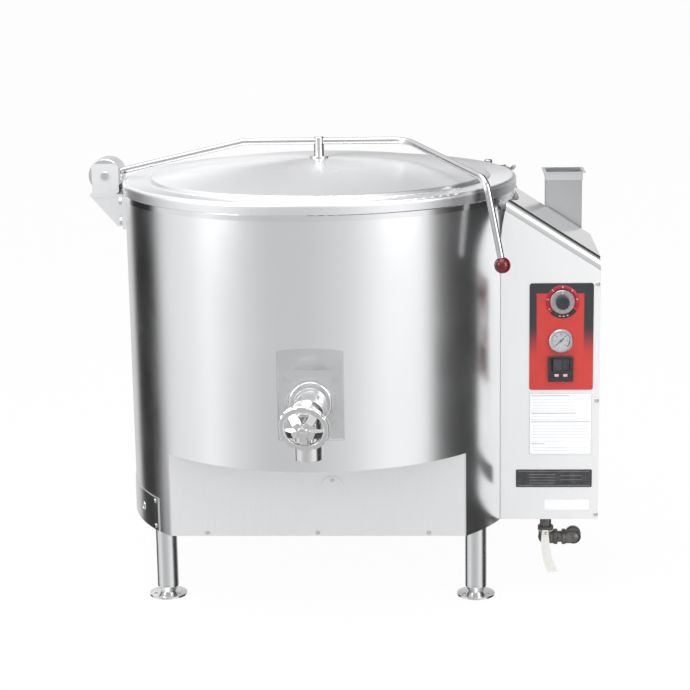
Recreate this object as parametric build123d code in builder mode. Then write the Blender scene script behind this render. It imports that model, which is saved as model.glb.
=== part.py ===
from build123d import *
from math import cos, radians, sin, sqrt, tan
import os

# Gas-fired steam jacketed kettle, millimetres.
# Origin: on the floor, on the axis of the kettle. +Z up, -Y the operator's side, +X the control box.

# ---------------------------------------------------------------- driving dimensions
# Running and seating clearances
seat = 0.2          # between pieces of one body that lie against each other
running = 0.05      # radial, pins and shafts in their bores
apart = 0.3         # between pieces that move against each other

# Outer shell, its flat front and the floor pan
shell_radius = 457.0
shell_wall = 2.0
shell_bottom = 174.0
rim_height = 938.5
rim_plate = 3.0
rim_lip_depth = 14.0
rim_lip_wall = 2.0
flat_front = shell_radius - 151.0   # distance of the flat front panel from the kettle axis
flat_front_top = 370.0
panel_sheet = 2.0
panel_screw_spacing = 254.0
panel_screw_rise = 9.0
pan_sheet = 2.5

# Kettle bowl, jacket, insulation
bowl_radius = 393.0
bowl_wall = 2.5
bowl_depth = 448.5
jacket_gap = 24.0
jacket_wall = 3.0
jacket_top = rim_height - 138.5

# Firebox under the jacket
firebox_radius = 285.0
firebox_wall = 1.5
burner_count = 5
burner_spacing = 72.0
burner_radius = 16.0
burner_length = 300.0
burner_height = 250.0
manifold_radius = 13.35
pipe_clear = 1.0            # round a pipe where it passes through a sheet

# Legs and feet
leg_circle = shell_radius - 38.0
leg_azimuths = (-150.0, -30.0, 90.0)
leg_names = ("front_left", "front_right", "rear")
leg_radius = 25.0
leg_wall = 2.5
leg_bottom = 26.0
foot_radius = 44.0
foot_plate = 6.0
foot_stem = 45.0
foot_bolt_circle = 32.0
foot_bolt_radius = 4.5
foot_bolt_count = 3

# Draw-off: plate in its recess, tube, valve
tube_bore = 36.45
tube_wall = 1.65
recess_plane = shell_radius - 10.0   # distance of the flat plate's face from the kettle axis
recess_half_width = 73.0
recess_below = 85.45        # from the draw-off tube's axis down to the recess's foot
recess_above = 70.55        # up to the flat plate's top edge
roof_above = 121.55         # and up to the top of the arched window
recess_sheet = 2.5
recess_corner_drop = 7.0    # the window's top edge is an arc, this much lower at its ends
plate_bolt_x = 54.0
plate_bolt_z = 53.0
collar_radius = 47.5
collar_depth = 14.0
valve_tilt = 18.0           # stem axis, degrees below the horizontal
valve_turn = 5.0            # stem axis, degrees to the left of straight ahead
valve_body_radius = 36.5
valve_spout_station = 46.0   # where the spout's axis crosses the stem's
valve_front_station = 88.0
valve_cast_wall = 4.0
valve_seat_radius = 20.0
disc_radius = 22.0
disc_thickness = 6.0
bonnet_radius = 24.0
bonnet_length = 17.0
stem_radius = 7.0
wheel_station = 106.0       # wheel rim plane, along the stem from the collar's foot
wheel_radius = 56.0
wheel_rim_width = 14.0
wheel_rim_depth = 12.0
wheel_spokes = 5
wheel_spoke_width = 17.0
wheel_first_spoke = 54.0    # degrees, so that one of the gaps is at the top
wheel_scallops = 10
wheel_scallop_depth = 2.0
wheel_hub_radius = 13.0
spout_radius = 31.75
spout_below = 115.45        # from the tube's axis down to the spout's mouth

# Lid, post, arm and knob
lid_radius = shell_radius + 5.0
lid_sheet = 2.0
lid_flange_height = rim_height + 26.5
lid_dome_radius = lid_radius - 62.0
lid_dome_foot = rim_height + 23.5
lid_step = 9.0
lid_step_run = 6.0
lid_apex = rim_height + 68.5
lid_return = 22.0
post_radius = 11.8
post_height = 48.0
post_flange_radius = 22.0
post_flange = 3.0
arm_radius = 7.94
arm_height = rim_height + 106.5
arm_bend_left = 176.0
arm_bend_right = 205.0
arm_outer_bend = (shell_radius - 73.0, 165.0 - shell_radius, rim_height + 51.5)
arm_end = (shell_radius - 38.0, 145.0 - shell_radius, rim_height - 128.5)
knob_radius = 18.5

# Side hinge
hinge_x = -shell_radius - 46.0
hinge_z = rim_height + 33.5
drum_radius = 39.0
drum_wall = 7.0
drum_end = 6.0
hinge_plate_sheet = 3.0
hinge_half_width = 37.0     # inner faces of the two plates
hinge_plate_back = 31.0
hinge_plate_front = 32.0
hinge_plate_rise = 28.0
hinge_corner = 9.0
pin_radius = 8.0
pin_head_radius = 10.0
pin_head = 4.0
spring_wire = 3.5
spring_coil = 18.0
spring_turns = 6
bracket_reach = 84.0
bracket_sheet = 6.0
gusset_sheet = 4.0
bracket_drop = 76.0
pad_half_width = 60.0
pad_sheet = 5.0

bracket_bolt_y = 51.0
bracket_bolt_heights = (rim_height - 70.5, rim_height - 23.5)

# Fasteners
hex_head = 17.0             # across flats
hex_height = 7.0
bolt_radius = 5.0
plate_bolt_shank = 12.0
bracket_bolt_shank = 14.0
small_screw = 2.4
small_screw_head = 5.0
small_screw_rise = 2.2
small_screw_length = 8.0

# Control box
box_front = 180.0
box_back = 154.0
box_right = shell_radius + 191.0
box_low_top = 794.0         # height of the sloping cover at the right
box_slope = 32.7            # degrees
box_sheet = 1.5
box_roll = 26.0             # radius of the cover's rolled front edge
box_flare_start = rim_height - 123.5     # above this the left side draws back from the shell
box_flare_radius = shell_radius + 21.0
box_flare_top = rim_height + 6.5

# Safety valve and air vent, on risers outside the shell
fitting_pipe = 10.5
fitting_pipe_wall = 2.5
fitting_pipe_z = jacket_top - 20.0
fitting_circle = shell_radius + 45.0
safety_azimuth = 28.0
vent_azimuth = 36.5

# Side access cover, on the lower left of the shell
cover_from = 180.0          # azimuths
cover_to = 216.0
cover_low = 174.0
cover_high = 252.0
cover_sheet = 2.0
cover_screw_inset = 2.0     # degrees
cover_screw_rise = 9.0
cover_boss_azimuth = 205.0
cover_boss_z = 212.0

# ---------------------------------------------------------------- derived values
shell_inside = shell_radius - shell_wall
shell_top = rim_height - rim_plate - seat
bowl_centre = rim_height - bowl_depth + bowl_radius
bowl_outside = bowl_radius + bowl_wall
jacket_radius = bowl_outside + jacket_gap + jacket_wall
draw_off_height = bowl_centre - bowl_radius + tube_bore
recess_bottom = draw_off_height - recess_below
recess_top = draw_off_height + recess_above
recess_roof = draw_off_height + roof_above
spout_bottom = draw_off_height - spout_below
flat_half_width = sqrt(shell_inside**2 - flat_front**2)
pin_bore = pin_radius + running
lid_bottom = rim_height + apart
fitting_inner_end = sqrt(jacket_radius**2 - (bowl_centre - fitting_pipe_z) ** 2) - 10


os.makedirs("parts", exist_ok=True)


def export(piece, name):
    """Label a finished piece and write it as one STEP file."""
    piece.part.label = name
    export_step(piece.part, f"parts/{name}.step")


def facing(x, y, z):
    """A plane that faces the operator: local x to the right, local y up."""
    return Plane(origin=(x, y, z), x_dir=(1, 0, 0), z_dir=(0, -1, 0))


def across(y):
    """An upright plane at depth y, seen from the operator's side."""
    return facing(0, y, 0)


def fitting_rods(radius, inner, outer):
    """Two level rods on the lines of the safety valve's and the vent's pipes, between two radii."""
    with BuildPart() as rods:
        for azimuth in (safety_azimuth, vent_azimuth):
            with BuildSketch(Plane.YZ.rotated((0, 0, azimuth)).offset(inner)):
                with Locations((0, fitting_pipe_z)):
                    Circle(radius)
            extrude(amount=outer - inner)
    return rods.part


# ---------------------------------------------------------------- kettle bowl, jacket and shell
# Bowl: half sphere with a short straight wall, spun from one sheet, with the draw-off port near its foot.
port_start = 30.0           # distance from the kettle axis at which the port and its tube begin
with BuildPart() as inner_kettle:
    with BuildSketch(Plane.XZ):
        with BuildLine():
            outer_bowl = CenterArc((0, bowl_centre), bowl_outside, -90, 90)
            outer_wall = Line(outer_bowl @ 1, (bowl_outside, rim_height))
            lip = Line(outer_wall @ 1, (bowl_radius, rim_height))
            inner_wall = Line(lip @ 1, (bowl_radius, bowl_centre))
            inner_bowl = CenterArc((0, bowl_centre), bowl_radius, -90, 90)
            Line(inner_bowl @ 0, outer_bowl @ 0)
        make_face()
    revolve(axis=Axis.Z)
    with BuildSketch(across(-port_start)):
        with Locations((0, draw_off_height)):
            Circle(tube_bore)
    extrude(amount=bowl_outside, mode=Mode.SUBTRACT)
export(inner_kettle, "inner_kettle")

# Jacket: a larger half sphere welded to the bowl by a flat ring at its top, open for the draw-off tube.
jacket_top_radius = sqrt(jacket_radius**2 - (bowl_centre - jacket_top) ** 2)
with BuildPart() as steam_jacket:
    with BuildSketch(Plane.XZ):
        with Locations((0, bowl_centre)):
            Circle(jacket_radius)
        with Locations((0, jacket_top - jacket_wall + jacket_radius)):
            Rectangle(2 * jacket_radius, 2 * jacket_radius, mode=Mode.SUBTRACT)
        with Locations((0, bowl_centre)):
            Circle(jacket_radius - jacket_wall, mode=Mode.SUBTRACT)
        with Locations((0, jacket_top - jacket_wall)):
            Rectangle(jacket_top_radius, jacket_wall, align=(Align.MIN, Align.MIN))
        with Locations((0, bowl_centre)):
            Circle(bowl_outside + seat, mode=Mode.SUBTRACT)
        with Locations((0, bowl_centre)):
            Rectangle(jacket_radius, 2 * jacket_radius, align=(Align.MIN, Align.CENTER), mode=Mode.INTERSECT)
    revolve(axis=Axis.Z)
    with BuildSketch(across(0)):
        with Locations((0, draw_off_height)):
            Circle(tube_bore + tube_wall + seat)
    extrude(amount=jacket_radius, mode=Mode.SUBTRACT)
    add(fitting_rods(fitting_pipe + seat, fitting_inner_end, jacket_radius), mode=Mode.SUBTRACT)
export(steam_jacket, "steam_jacket")

# Rim: flat ring from the bowl to the shell, with a lip that laps over the shell's top edge.
with BuildPart() as kettle_rim:
    with BuildSketch(Plane.XZ):
        with Locations((bowl_outside + seat, rim_height)):
            Rectangle(shell_radius + rim_lip_wall - bowl_outside, rim_plate, align=(Align.MIN, Align.MAX))
        with Locations((shell_radius + seat, rim_height)):
            Rectangle(rim_lip_wall, rim_lip_depth, align=(Align.MIN, Align.MAX))
    revolve(axis=Axis.Z)
    top_edges = kettle_rim.edges().filter_by(GeomType.CIRCLE).group_by(Axis.Z)[-1]
    fillet(top_edges.sort_by(SortBy.RADIUS)[-1], rim_lip_wall * 0.9)
export(kettle_rim, "kettle_rim")

# Shell: rolled drum, cut flat at the front below the panel's top, closed there by a flat ledge.
# It has the recess window, the side access opening, the flue outlet and the manifold hole.
access_opening_from = 184.0     # azimuths of the side access opening
access_opening_to = 212.0
access_low = 184.0
access_high = 242.0
flue_width = 86.0
flue_wall = 1.5
flue_x = shell_radius + 128.0
flue_y = 208.0
flue_low = 400.0
flue_high = 934.0
manifold_y = -120.0


def sector(radius, azimuth_from, azimuth_to):
    """A pie-shaped face on the floor plane between two azimuths, centred on the kettle axis."""
    with BuildSketch() as pie:
        with BuildLine():
            first = PolarLine((0, 0), radius, azimuth_from)
            CenterArc((0, 0), radius, azimuth_from, azimuth_to - azimuth_from)
            PolarLine((0, 0), radius, azimuth_to)
        make_face()
    return pie.sketch


def cover_rods(radius, inner, outer):
    """Four rods at the side cover's screws, square to the shell, between two radii."""
    with BuildPart() as rods:
        for azimuth in (cover_from + cover_screw_inset, cover_to - cover_screw_inset):
            with BuildSketch(Plane.YZ.rotated((0, 0, azimuth)).offset(inner)):
                with Locations((0, cover_low + cover_screw_rise), (0, cover_high - cover_screw_rise)):
                    Circle(radius)
            extrude(amount=outer - inner)
    return rods.part


def bracket_bores(radius):
    """Four rods through the left side of the shell, where the hinge bracket's bolts go."""
    with BuildPart() as rods:
        with BuildSketch(Plane.YZ):
            for bolt_z in bracket_bolt_heights:
                with Locations((-bracket_bolt_y, bolt_z), (bracket_bolt_y, bolt_z)):
                    Circle(radius)
        extrude(amount=-2 * shell_radius)
    return rods.part


def window_outline(clearance, bottom):
    """Outline of the draw-off window, drawn in by a clearance: upright sides under an arc."""
    half = recess_half_width - clearance
    top = recess_roof - clearance
    shoulder = top - recess_corner_drop
    with BuildSketch(across(0)) as window:
        with BuildLine():
            sides = Polyline((-half, shoulder), (-half, bottom), (half, bottom), (half, shoulder))
            ThreePointArc(sides @ 1, (0, top), sides @ 0)
        make_face()
    return window.sketch


window_cutter = extrude(window_outline(0, recess_bottom), amount=shell_radius)
bolt_bores = bracket_bores(bolt_radius + running)
bolt_clearances = bracket_bores(bolt_radius + 3)
cover_bores = cover_rods(small_screw + running, shell_inside - cover_sheet, shell_radius + 3 * cover_sheet)
access_outline = sector(2 * shell_radius, access_opening_from, access_opening_to)
access_wedge = extrude(access_outline.moved(Location((0, 0, access_low))), amount=access_high - access_low)
with BuildPart() as outer_shell:
    with BuildSketch(Plane.XY.offset(shell_bottom)):
        Circle(shell_radius)
        Circle(shell_inside, mode=Mode.SUBTRACT)
    extrude(amount=shell_top - shell_bottom)
    with BuildSketch(Plane.XY.offset(shell_bottom)):
        with Locations((0, -flat_front)):
            Rectangle(2 * shell_radius, shell_radius, align=(Align.CENTER, Align.MAX))
    extrude(amount=flat_front_top - shell_bottom, mode=Mode.SUBTRACT)
    with BuildSketch(Plane.XY.offset(flat_front_top)):
        Circle(shell_inside)
        with Locations((0, -flat_front + panel_sheet)):
            Rectangle(2 * shell_radius, shell_radius, align=(Align.CENTER, Align.MAX), mode=Mode.INTERSECT)
    extrude(amount=panel_sheet)
    add(window_cutter, mode=Mode.SUBTRACT)
    add(access_wedge, mode=Mode.SUBTRACT)
    add(cover_bores, mode=Mode.SUBTRACT)
    add(fitting_rods(fitting_pipe + seat, bowl_outside, 2 * shell_radius), mode=Mode.SUBTRACT)
    with BuildSketch(Plane.YZ):
        with Locations((flue_y, flue_low + flue_width / 2)):
            Rectangle(flue_width + 2 * seat, flue_width + 2 * seat)
        with Locations((manifold_y, burner_height)):
            Circle(manifold_radius + pipe_clear)
    extrude(amount=2 * shell_radius, mode=Mode.SUBTRACT)
    add(bolt_bores, mode=Mode.SUBTRACT)
export(outer_shell, "outer_shell")

# Insulation: a blanket between the jacket and the shell, cut away round the draw-off and the flue.
insulation_bottom = 480.0
insulation_clear = 3.0
insulation_cutback = 10.0   # round the draw-off window and the flue
window_clear = recess_half_width + insulation_cutback
with BuildPart() as insulation:
    with BuildSketch(Plane.XY.offset(insulation_bottom)):
        Circle(shell_inside - seat)
        Circle(jacket_radius + insulation_clear, mode=Mode.SUBTRACT)
    extrude(amount=rim_height - rim_plate - seat - insulation_bottom)
    with BuildSketch(across(0)):
        with Locations((0, recess_roof + insulation_cutback)):
            Rectangle(2 * window_clear, recess_roof, align=(Align.CENTER, Align.MAX))
    extrude(amount=shell_radius, mode=Mode.SUBTRACT)
    with BuildSketch(Plane.YZ):
        with Locations((flue_y, flue_low + flue_width / 2)):
            Rectangle(flue_width + 2 * insulation_cutback, flue_width + 2 * insulation_cutback)
    extrude(amount=shell_radius, mode=Mode.SUBTRACT)
    add(bolt_clearances, mode=Mode.SUBTRACT)
    add(fitting_rods(fitting_pipe + insulation_clear, bowl_outside, shell_radius), mode=Mode.SUBTRACT)
export(insulation, "insulation")

# Base pan: floor of the shell, flat at the front, with a round air inlet and a ring of air slots.
air_inlet_radius = 55.0
air_slot_circle = 230.0
air_slots = 12
air_slot_length = 110.0
air_slot_width = 14.0
with BuildPart() as base_pan:
    with BuildSketch(Plane.XY.offset(shell_bottom)):
        Circle(shell_inside - seat)
        with Locations((0, -flat_front + panel_sheet + seat + shell_radius)):
            Rectangle(2 * shell_radius, 2 * shell_radius, mode=Mode.INTERSECT)
        Circle(air_inlet_radius, mode=Mode.SUBTRACT)
        with PolarLocations(air_slot_circle, air_slots):
            SlotOverall(air_slot_length, air_slot_width, mode=Mode.SUBTRACT)
    extrude(amount=pan_sheet)
export(base_pan, "base_pan")

# Firebox: round sheet chamber from the base pan up to the jacket, with holes for flue, manifold and draw-off.
firebox_top = bowl_centre - sqrt(jacket_radius**2 - (firebox_radius - firebox_wall) ** 2) - seat
with BuildPart() as combustion_chamber:
    with BuildSketch(Plane.XY.offset(shell_bottom + pan_sheet)):
        Circle(firebox_radius)
        Circle(firebox_radius - firebox_wall, mode=Mode.SUBTRACT)
    extrude(amount=firebox_top - shell_bottom - pan_sheet)
    with BuildSketch(Plane.YZ):
        with Locations((flue_y, flue_low + flue_width / 2)):
            Rectangle(flue_width + 2 * seat, flue_width + 2 * seat)
        with Locations((manifold_y, burner_height)):
            Circle(manifold_radius + pipe_clear)
    extrude(amount=firebox_radius, mode=Mode.SUBTRACT)
    with BuildSketch(across(0)):
        with Locations((0, draw_off_height)):
            Circle(tube_bore + tube_wall + 2)
    extrude(amount=firebox_radius, mode=Mode.SUBTRACT)
export(combustion_chamber, "combustion_chamber")

# Burners: parallel round tubes with a flared inlet at the manifold end and a slot of ports along the top,
# held by a cross rail that spans the firebox.
orifice_length = 12.0
orifice_radius = 5.0
burner_inlet_y = manifold_y + manifold_radius + orifice_length
burner_left = -burner_spacing * (burner_count - 1) / 2
burner_wall = 2.0
burner_slot = 4.0
rail_y = 90.0
rail_width = 24.0
rail_depth = 8.0
rail_half = sqrt((firebox_radius - firebox_wall) ** 2 - (rail_y + rail_width / 2) ** 2) - seat
inlet_plane = Plane(origin=(0, burner_inlet_y, burner_height), x_dir=(1, 0, 0), z_dir=(0, 1, 0))
with BuildPart() as burner:
    with BuildSketch(inlet_plane):
        with GridLocations(burner_spacing, 1, burner_count, 1):
            Circle(burner_radius)
    extrude(amount=burner_length)
    with BuildSketch(inlet_plane):
        with GridLocations(burner_spacing, 1, burner_count, 1):
            Circle(burner_radius - burner_wall)
    extrude(amount=burner_length - 2 * burner_wall, mode=Mode.SUBTRACT)
    with BuildSketch(Plane.XY.offset(burner_height)):
        with Locations((0, burner_inlet_y + 0.58 * burner_length)):
            with GridLocations(burner_spacing, 1, burner_count, 1):
                SlotOverall(0.7 * burner_length, burner_slot, rotation=90)
    extrude(amount=2 * burner_radius, mode=Mode.SUBTRACT)
    with BuildSketch(Plane.XY.offset(burner_height - burner_radius + burner_wall)):
        with Locations((0, rail_y)):
            Rectangle(2 * rail_half, rail_width)
    extrude(amount=-rail_depth)
export(burner, "burner")

# Manifold: capped pipe with one orifice nipple at each burner, led out through the shell to the gas valve.
gas_x = shell_radius + 72.7
gas_y = manifold_y
valve_block = 72.0
manifold_end = burner_left - 40.0
pipe_wall = 3.0
with BuildPart() as burner_manifold:
    with BuildSketch(Plane.YZ.offset(manifold_end)):
        with Locations((manifold_y, burner_height)):
            Circle(manifold_radius)
            Circle(manifold_radius - pipe_wall, mode=Mode.SUBTRACT)
    extrude(amount=gas_x - valve_block / 2 - seat - manifold_end)
    with BuildSketch(Plane.YZ.offset(manifold_end)):
        with Locations((manifold_y, burner_height)):
            Circle(manifold_radius)
    extrude(amount=pipe_wall)
    with BuildSketch(inlet_plane.offset(-seat)):
        with GridLocations(burner_spacing, 1, burner_count, 1):
            Circle(orifice_radius)
    extrude(amount=-orifice_length - pipe_wall / 2)
export(burner_manifold, "burner_manifold")

# ---------------------------------------------------------------- flat front, side cover, sight cover
# Front panel: screwed sheet with hemmed sides, a sight hole and three screw holes.
sight_x = 35.0
sight_z = 290.6
sight_radius = 25.6
sight_hole = 15.0
sight_pivot_rise = 17.0
panel_low = shell_bottom
with BuildPart() as front_panel:
    with BuildSketch(across(-flat_front + panel_sheet)):
        with Locations((0, panel_low)):
            Rectangle(
                2 * (flat_half_width - seat),
                flat_front_top - seat - panel_low,
                align=(Align.CENTER, Align.MIN),
            )
        with Locations((0, panel_low + panel_screw_rise)):
            with GridLocations(panel_screw_spacing, 1, 3, 1):
                Circle(small_screw + running, mode=Mode.SUBTRACT)
        with Locations((sight_x, sight_z)):
            Circle(sight_hole, mode=Mode.SUBTRACT)
        with Locations((sight_x, sight_z + sight_pivot_rise)):
            Circle(small_screw + running, mode=Mode.SUBTRACT)
    extrude(amount=panel_sheet)
export(front_panel, "front_panel")

# Sight cover: a disc that swings aside on a shouldered screw.
with BuildPart() as sight_cover:
    with BuildSketch(across(-flat_front - apart)):
        with Locations((sight_x, sight_z)):
            Circle(sight_radius)
        with Locations((sight_x, sight_z + sight_pivot_rise)):
            Circle(small_screw + running, mode=Mode.SUBTRACT)
    extrude(amount=panel_sheet)
export(sight_cover, "sight_cover")

# Side access cover: a curved sheet on the shell, with a small knock-out boss and screws near its corners.
cover_inside = shell_radius + seat
cover_outline = sector(cover_inside + cover_sheet, cover_from, cover_to) - Circle(cover_inside)
cover_band = extrude(cover_outline.moved(Location((0, 0, cover_low))), amount=cover_high - cover_low)
cover_boss_radius = 11.0
cover_boss_wall = 3.0
with BuildPart() as side_access_cover:
    add(cover_band)
    with BuildSketch(Plane.YZ.rotated((0, 0, cover_boss_azimuth)).offset(shell_radius)):
        with Locations((0, cover_boss_z)):
            Circle(cover_boss_radius)
            Circle(cover_boss_radius - cover_boss_wall, mode=Mode.SUBTRACT)
    extrude(amount=1.7 * cover_sheet)
    add(cover_bores, mode=Mode.SUBTRACT)
export(side_access_cover, "side_access_cover")

# ---------------------------------------------------------------- legs and feet
# Legs: three plain tubes under the base pan, on one circle.
leg_places = [
    Location((leg_circle * cos(radians(azimuth)), leg_circle * sin(radians(azimuth)), 0), (0, 0, azimuth))
    for azimuth in leg_azimuths
]
with BuildPart() as legs:
    with BuildSketch(Plane.XY.offset(leg_bottom)):
        with Locations(leg_places):
            Circle(leg_radius)
            Circle(leg_radius - leg_wall, mode=Mode.SUBTRACT)
    extrude(amount=shell_bottom - leg_bottom)
export(legs, "legs")

# Feet: a tapered bullet on a round bolt-down flange, with a long stem that screws up inside the leg.
foot_shoulder = leg_bottom - apart
foot_waist = 17.0
for name, place in zip(leg_names, leg_places):
    with BuildPart() as foot:
        with BuildSketch(Plane.XZ):
            with BuildLine():
                Polyline(
                    (0, 0),
                    (foot_radius, 0),
                    (foot_radius, foot_plate - 1.5),
                    (foot_radius - 6, foot_plate),
                    (foot_waist, foot_plate + 1.5),
                    (leg_radius, foot_shoulder - 3),
                    (leg_radius, foot_shoulder),
                    (leg_radius - leg_wall - apart, foot_shoulder),
                    (leg_radius - leg_wall - apart, foot_shoulder + foot_stem),
                    (0, foot_shoulder + foot_stem),
                    close=True,
                )
            make_face()
        revolve(axis=Axis.Z)
        with PolarLocations(foot_bolt_circle, foot_bolt_count):
            Hole(foot_bolt_radius)
    foot.part = foot.part.moved(place)
    export(foot, f"foot_{name}")

# ---------------------------------------------------------------- draw-off
# Plate: pressed pan that fills the window. Its face is flat at the port, its roof slopes out to the shell,
# and narrow returns at the sides and the foot close it against the shell.
pan_inside = recess_half_width - seat - recess_sheet
pan_outline = extrude(window_outline(seat, recess_bottom + seat), amount=shell_radius)
with BuildPart() as draw_off_plate:
    with BuildSketch(across(-recess_plane + recess_sheet)):
        with Locations((0, recess_bottom)):
            Rectangle(2 * recess_half_width, recess_top - recess_bottom, align=(Align.CENTER, Align.MIN))
    extrude(amount=recess_sheet)
    with BuildSketch(Plane.XY.offset(recess_top)):
        with Locations((0, -recess_plane)):
            Rectangle(2 * recess_half_width, recess_sheet, align=(Align.CENTER, Align.MIN))
    with BuildSketch(Plane.XY.offset(recess_roof)):
        Circle(shell_radius)
        Circle(shell_radius - recess_sheet, mode=Mode.SUBTRACT)
        with Locations((0, -shell_radius)):
            Rectangle(2 * recess_half_width, shell_radius, mode=Mode.INTERSECT)
    loft(ruled=True)
    with BuildSketch(across(-recess_plane + recess_sheet)):
        with Locations((0, recess_bottom)):
            Rectangle(2 * recess_half_width, recess_roof - recess_bottom, align=(Align.CENTER, Align.MIN))
        with Locations((0, recess_bottom + seat + recess_sheet)):
            Rectangle(2 * pan_inside, recess_roof, align=(Align.CENTER, Align.MIN), mode=Mode.SUBTRACT)
    extrude(amount=shell_radius - recess_plane + recess_sheet)
    add(pan_outline, mode=Mode.INTERSECT)
    with BuildSketch(Plane.XY.offset(recess_bottom)):
        Circle(shell_radius)
    extrude(amount=recess_roof - recess_bottom, mode=Mode.INTERSECT)
    with BuildSketch(across(-recess_plane + recess_sheet)):
        with Locations((0, draw_off_height)):
            Circle(tube_bore + tube_wall + seat)
            with GridLocations(2 * plate_bolt_x, 2 * plate_bolt_z, 2, 2):
                Circle(bolt_radius + running)
    extrude(amount=recess_sheet, mode=Mode.SUBTRACT)
export(draw_off_plate, "draw_off_plate")

# Tube: level, tangent to the bowl's lowest point, saddle-cut where it meets the bowl.
with BuildPart() as draw_off_tube:
    with BuildSketch(across(-port_start - 10)):
        with Locations((0, draw_off_height)):
            Circle(tube_bore + tube_wall)
            Circle(tube_bore, mode=Mode.SUBTRACT)
    extrude(amount=recess_plane - port_start - 10)
    with Locations((0, 0, bowl_centre)):
        Sphere(bowl_outside + seat, mode=Mode.SUBTRACT)
export(draw_off_tube, "draw_off_tube")

# Bolts: hexagon heads that hold the draw-off plate and the hinge bracket.
def hex_bolt_row(plane, places, shank):
    """Hexagon bolts on a plane, heads outward, shanks inward."""
    with BuildPart() as row:
        with BuildSketch(plane):
            with Locations(*places):
                RegularPolygon(hex_head / 2, 6, major_radius=False)
        extrude(amount=hex_height)
        with BuildSketch(plane):
            with Locations(*places):
                Circle(bolt_radius)
        extrude(amount=-shank)
    return row.part


plate_bolts = [
    (x, draw_off_height + rise)
    for x in (-plate_bolt_x, plate_bolt_x)
    for rise in (-plate_bolt_z, plate_bolt_z)
]
bracket_bolts = [(y, z) for y in (-bracket_bolt_y, bracket_bolt_y) for z in bracket_bolt_heights]
bracket_pad_face = Plane(origin=(-shell_radius - pad_sheet - seat, 0, 0), x_dir=(0, -1, 0), z_dir=(-1, 0, 0))
with BuildPart() as hex_bolts:
    add(hex_bolt_row(across(-recess_plane - seat), plate_bolts, plate_bolt_shank))
    add(hex_bolt_row(bracket_pad_face, bracket_bolts, bracket_bolt_shank))
export(hex_bolts, "hex_bolts")

# Valve axis: from the collar's foot towards the operator, tilted down and turned a little to the left.
valve_foot = Vector(0, -recess_plane, draw_off_height)
valve_direction = Vector(
    -sin(radians(valve_turn)) * cos(radians(valve_tilt)),
    -cos(radians(valve_turn)) * cos(radians(valve_tilt)),
    -sin(radians(valve_tilt)),
)


def valve_plane(station):
    """A plane square to the valve's stem, a distance along it from the collar's foot."""
    level = (cos(radians(valve_turn)), -sin(radians(valve_turn)), 0)
    return Plane(origin=valve_foot + valve_direction * station, x_dir=level, z_dir=valve_direction)


spout_centre = valve_foot + valve_direction * valve_spout_station
valve_cavity = valve_body_radius - valve_cast_wall
bonnet_bore = bonnet_radius - 8

# Body: one casting: collar against the plate, a globe on the stem's axis and a spout straight down.
with BuildPart() as valve_body:
    with BuildSketch(across(-recess_plane - seat)):
        with Locations((0, draw_off_height)):
            Circle(collar_radius)
    extrude(amount=collar_depth)
    fillet(valve_body.edges().group_by(Axis.Y)[0], 4)
    with BuildSketch(valve_plane(0)):
        Circle(valve_body_radius)
    extrude(amount=valve_spout_station)
    with Locations(spout_centre):
        Sphere(valve_body_radius)
    with BuildSketch(valve_plane(valve_spout_station)):
        Circle(bonnet_radius)
    extrude(amount=valve_front_station - valve_spout_station)
    with BuildSketch(Plane.XY.offset(spout_bottom)):
        with Locations((spout_centre.X, spout_centre.Y)):
            Circle(spout_radius)
    extrude(amount=spout_centre.Z - spout_bottom)
    with Locations(spout_centre):
        Sphere(valve_cavity, mode=Mode.SUBTRACT)
    with BuildSketch(Plane.XY.offset(spout_bottom)):
        with Locations((spout_centre.X, spout_centre.Y)):
            Circle(spout_radius - valve_cast_wall)
    extrude(amount=spout_centre.Z - spout_bottom, mode=Mode.SUBTRACT)
    with BuildSketch(valve_plane(-10)):
        Circle(valve_seat_radius)
    extrude(amount=valve_spout_station, mode=Mode.SUBTRACT)
    with BuildSketch(valve_plane(valve_spout_station)):
        Circle(bonnet_bore)
    extrude(amount=valve_front_station, mode=Mode.SUBTRACT)
    split(bisect_by=across(-recess_plane - seat), keep=Keep.TOP)
export(valve_body, "valve_body")

# Bonnet: a plug in the body's bore, a hexagon to turn it by, and a neck that guides the stem.
bonnet_start = valve_front_station
bonnet_end = bonnet_start + bonnet_length
bonnet_plug = 6.0
bonnet_hexagon = 5.0        # height
bonnet_hexagon_radius = 20.0
bonnet_neck_radius = 13.0
with BuildPart() as valve_bonnet:
    with BuildSketch(valve_plane(bonnet_start - bonnet_plug)):
        Circle(bonnet_bore - seat)
    extrude(amount=bonnet_plug + seat)
    with BuildSketch(valve_plane(bonnet_start + seat)):
        RegularPolygon(bonnet_hexagon_radius, 6, major_radius=False)
    extrude(amount=bonnet_hexagon)
    with BuildSketch(valve_plane(bonnet_start)):
        Circle(bonnet_neck_radius)
    extrude(amount=bonnet_length)
    with BuildSketch(valve_plane(bonnet_start - bonnet_plug)):
        Circle(stem_radius + running)
    extrude(amount=bonnet_plug + bonnet_length, mode=Mode.SUBTRACT)
export(valve_bonnet, "valve_bonnet")

# Disc: swivels on the stem's end and closes the body's inlet.
disc_station = valve_spout_station - sqrt((valve_cavity - apart) ** 2 - disc_radius**2)
disc_pocket = 6.0
disc_pocket_wall = 4.0
with BuildPart() as valve_disc:
    with BuildSketch(valve_plane(disc_station)):
        Circle(disc_radius)
    extrude(amount=disc_thickness)
    fillet(valve_disc.edges().group_by(lambda edge: (edge.center() - valve_foot).dot(valve_direction))[-1], 2)
    with BuildSketch(valve_plane(disc_station + disc_thickness)):
        Circle(stem_radius + disc_pocket_wall)
    extrude(amount=disc_pocket)
    with BuildSketch(valve_plane(disc_station + disc_thickness)):
        Circle(stem_radius + running)
    extrude(amount=disc_pocket, mode=Mode.SUBTRACT)
export(valve_disc, "valve_disc")

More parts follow.
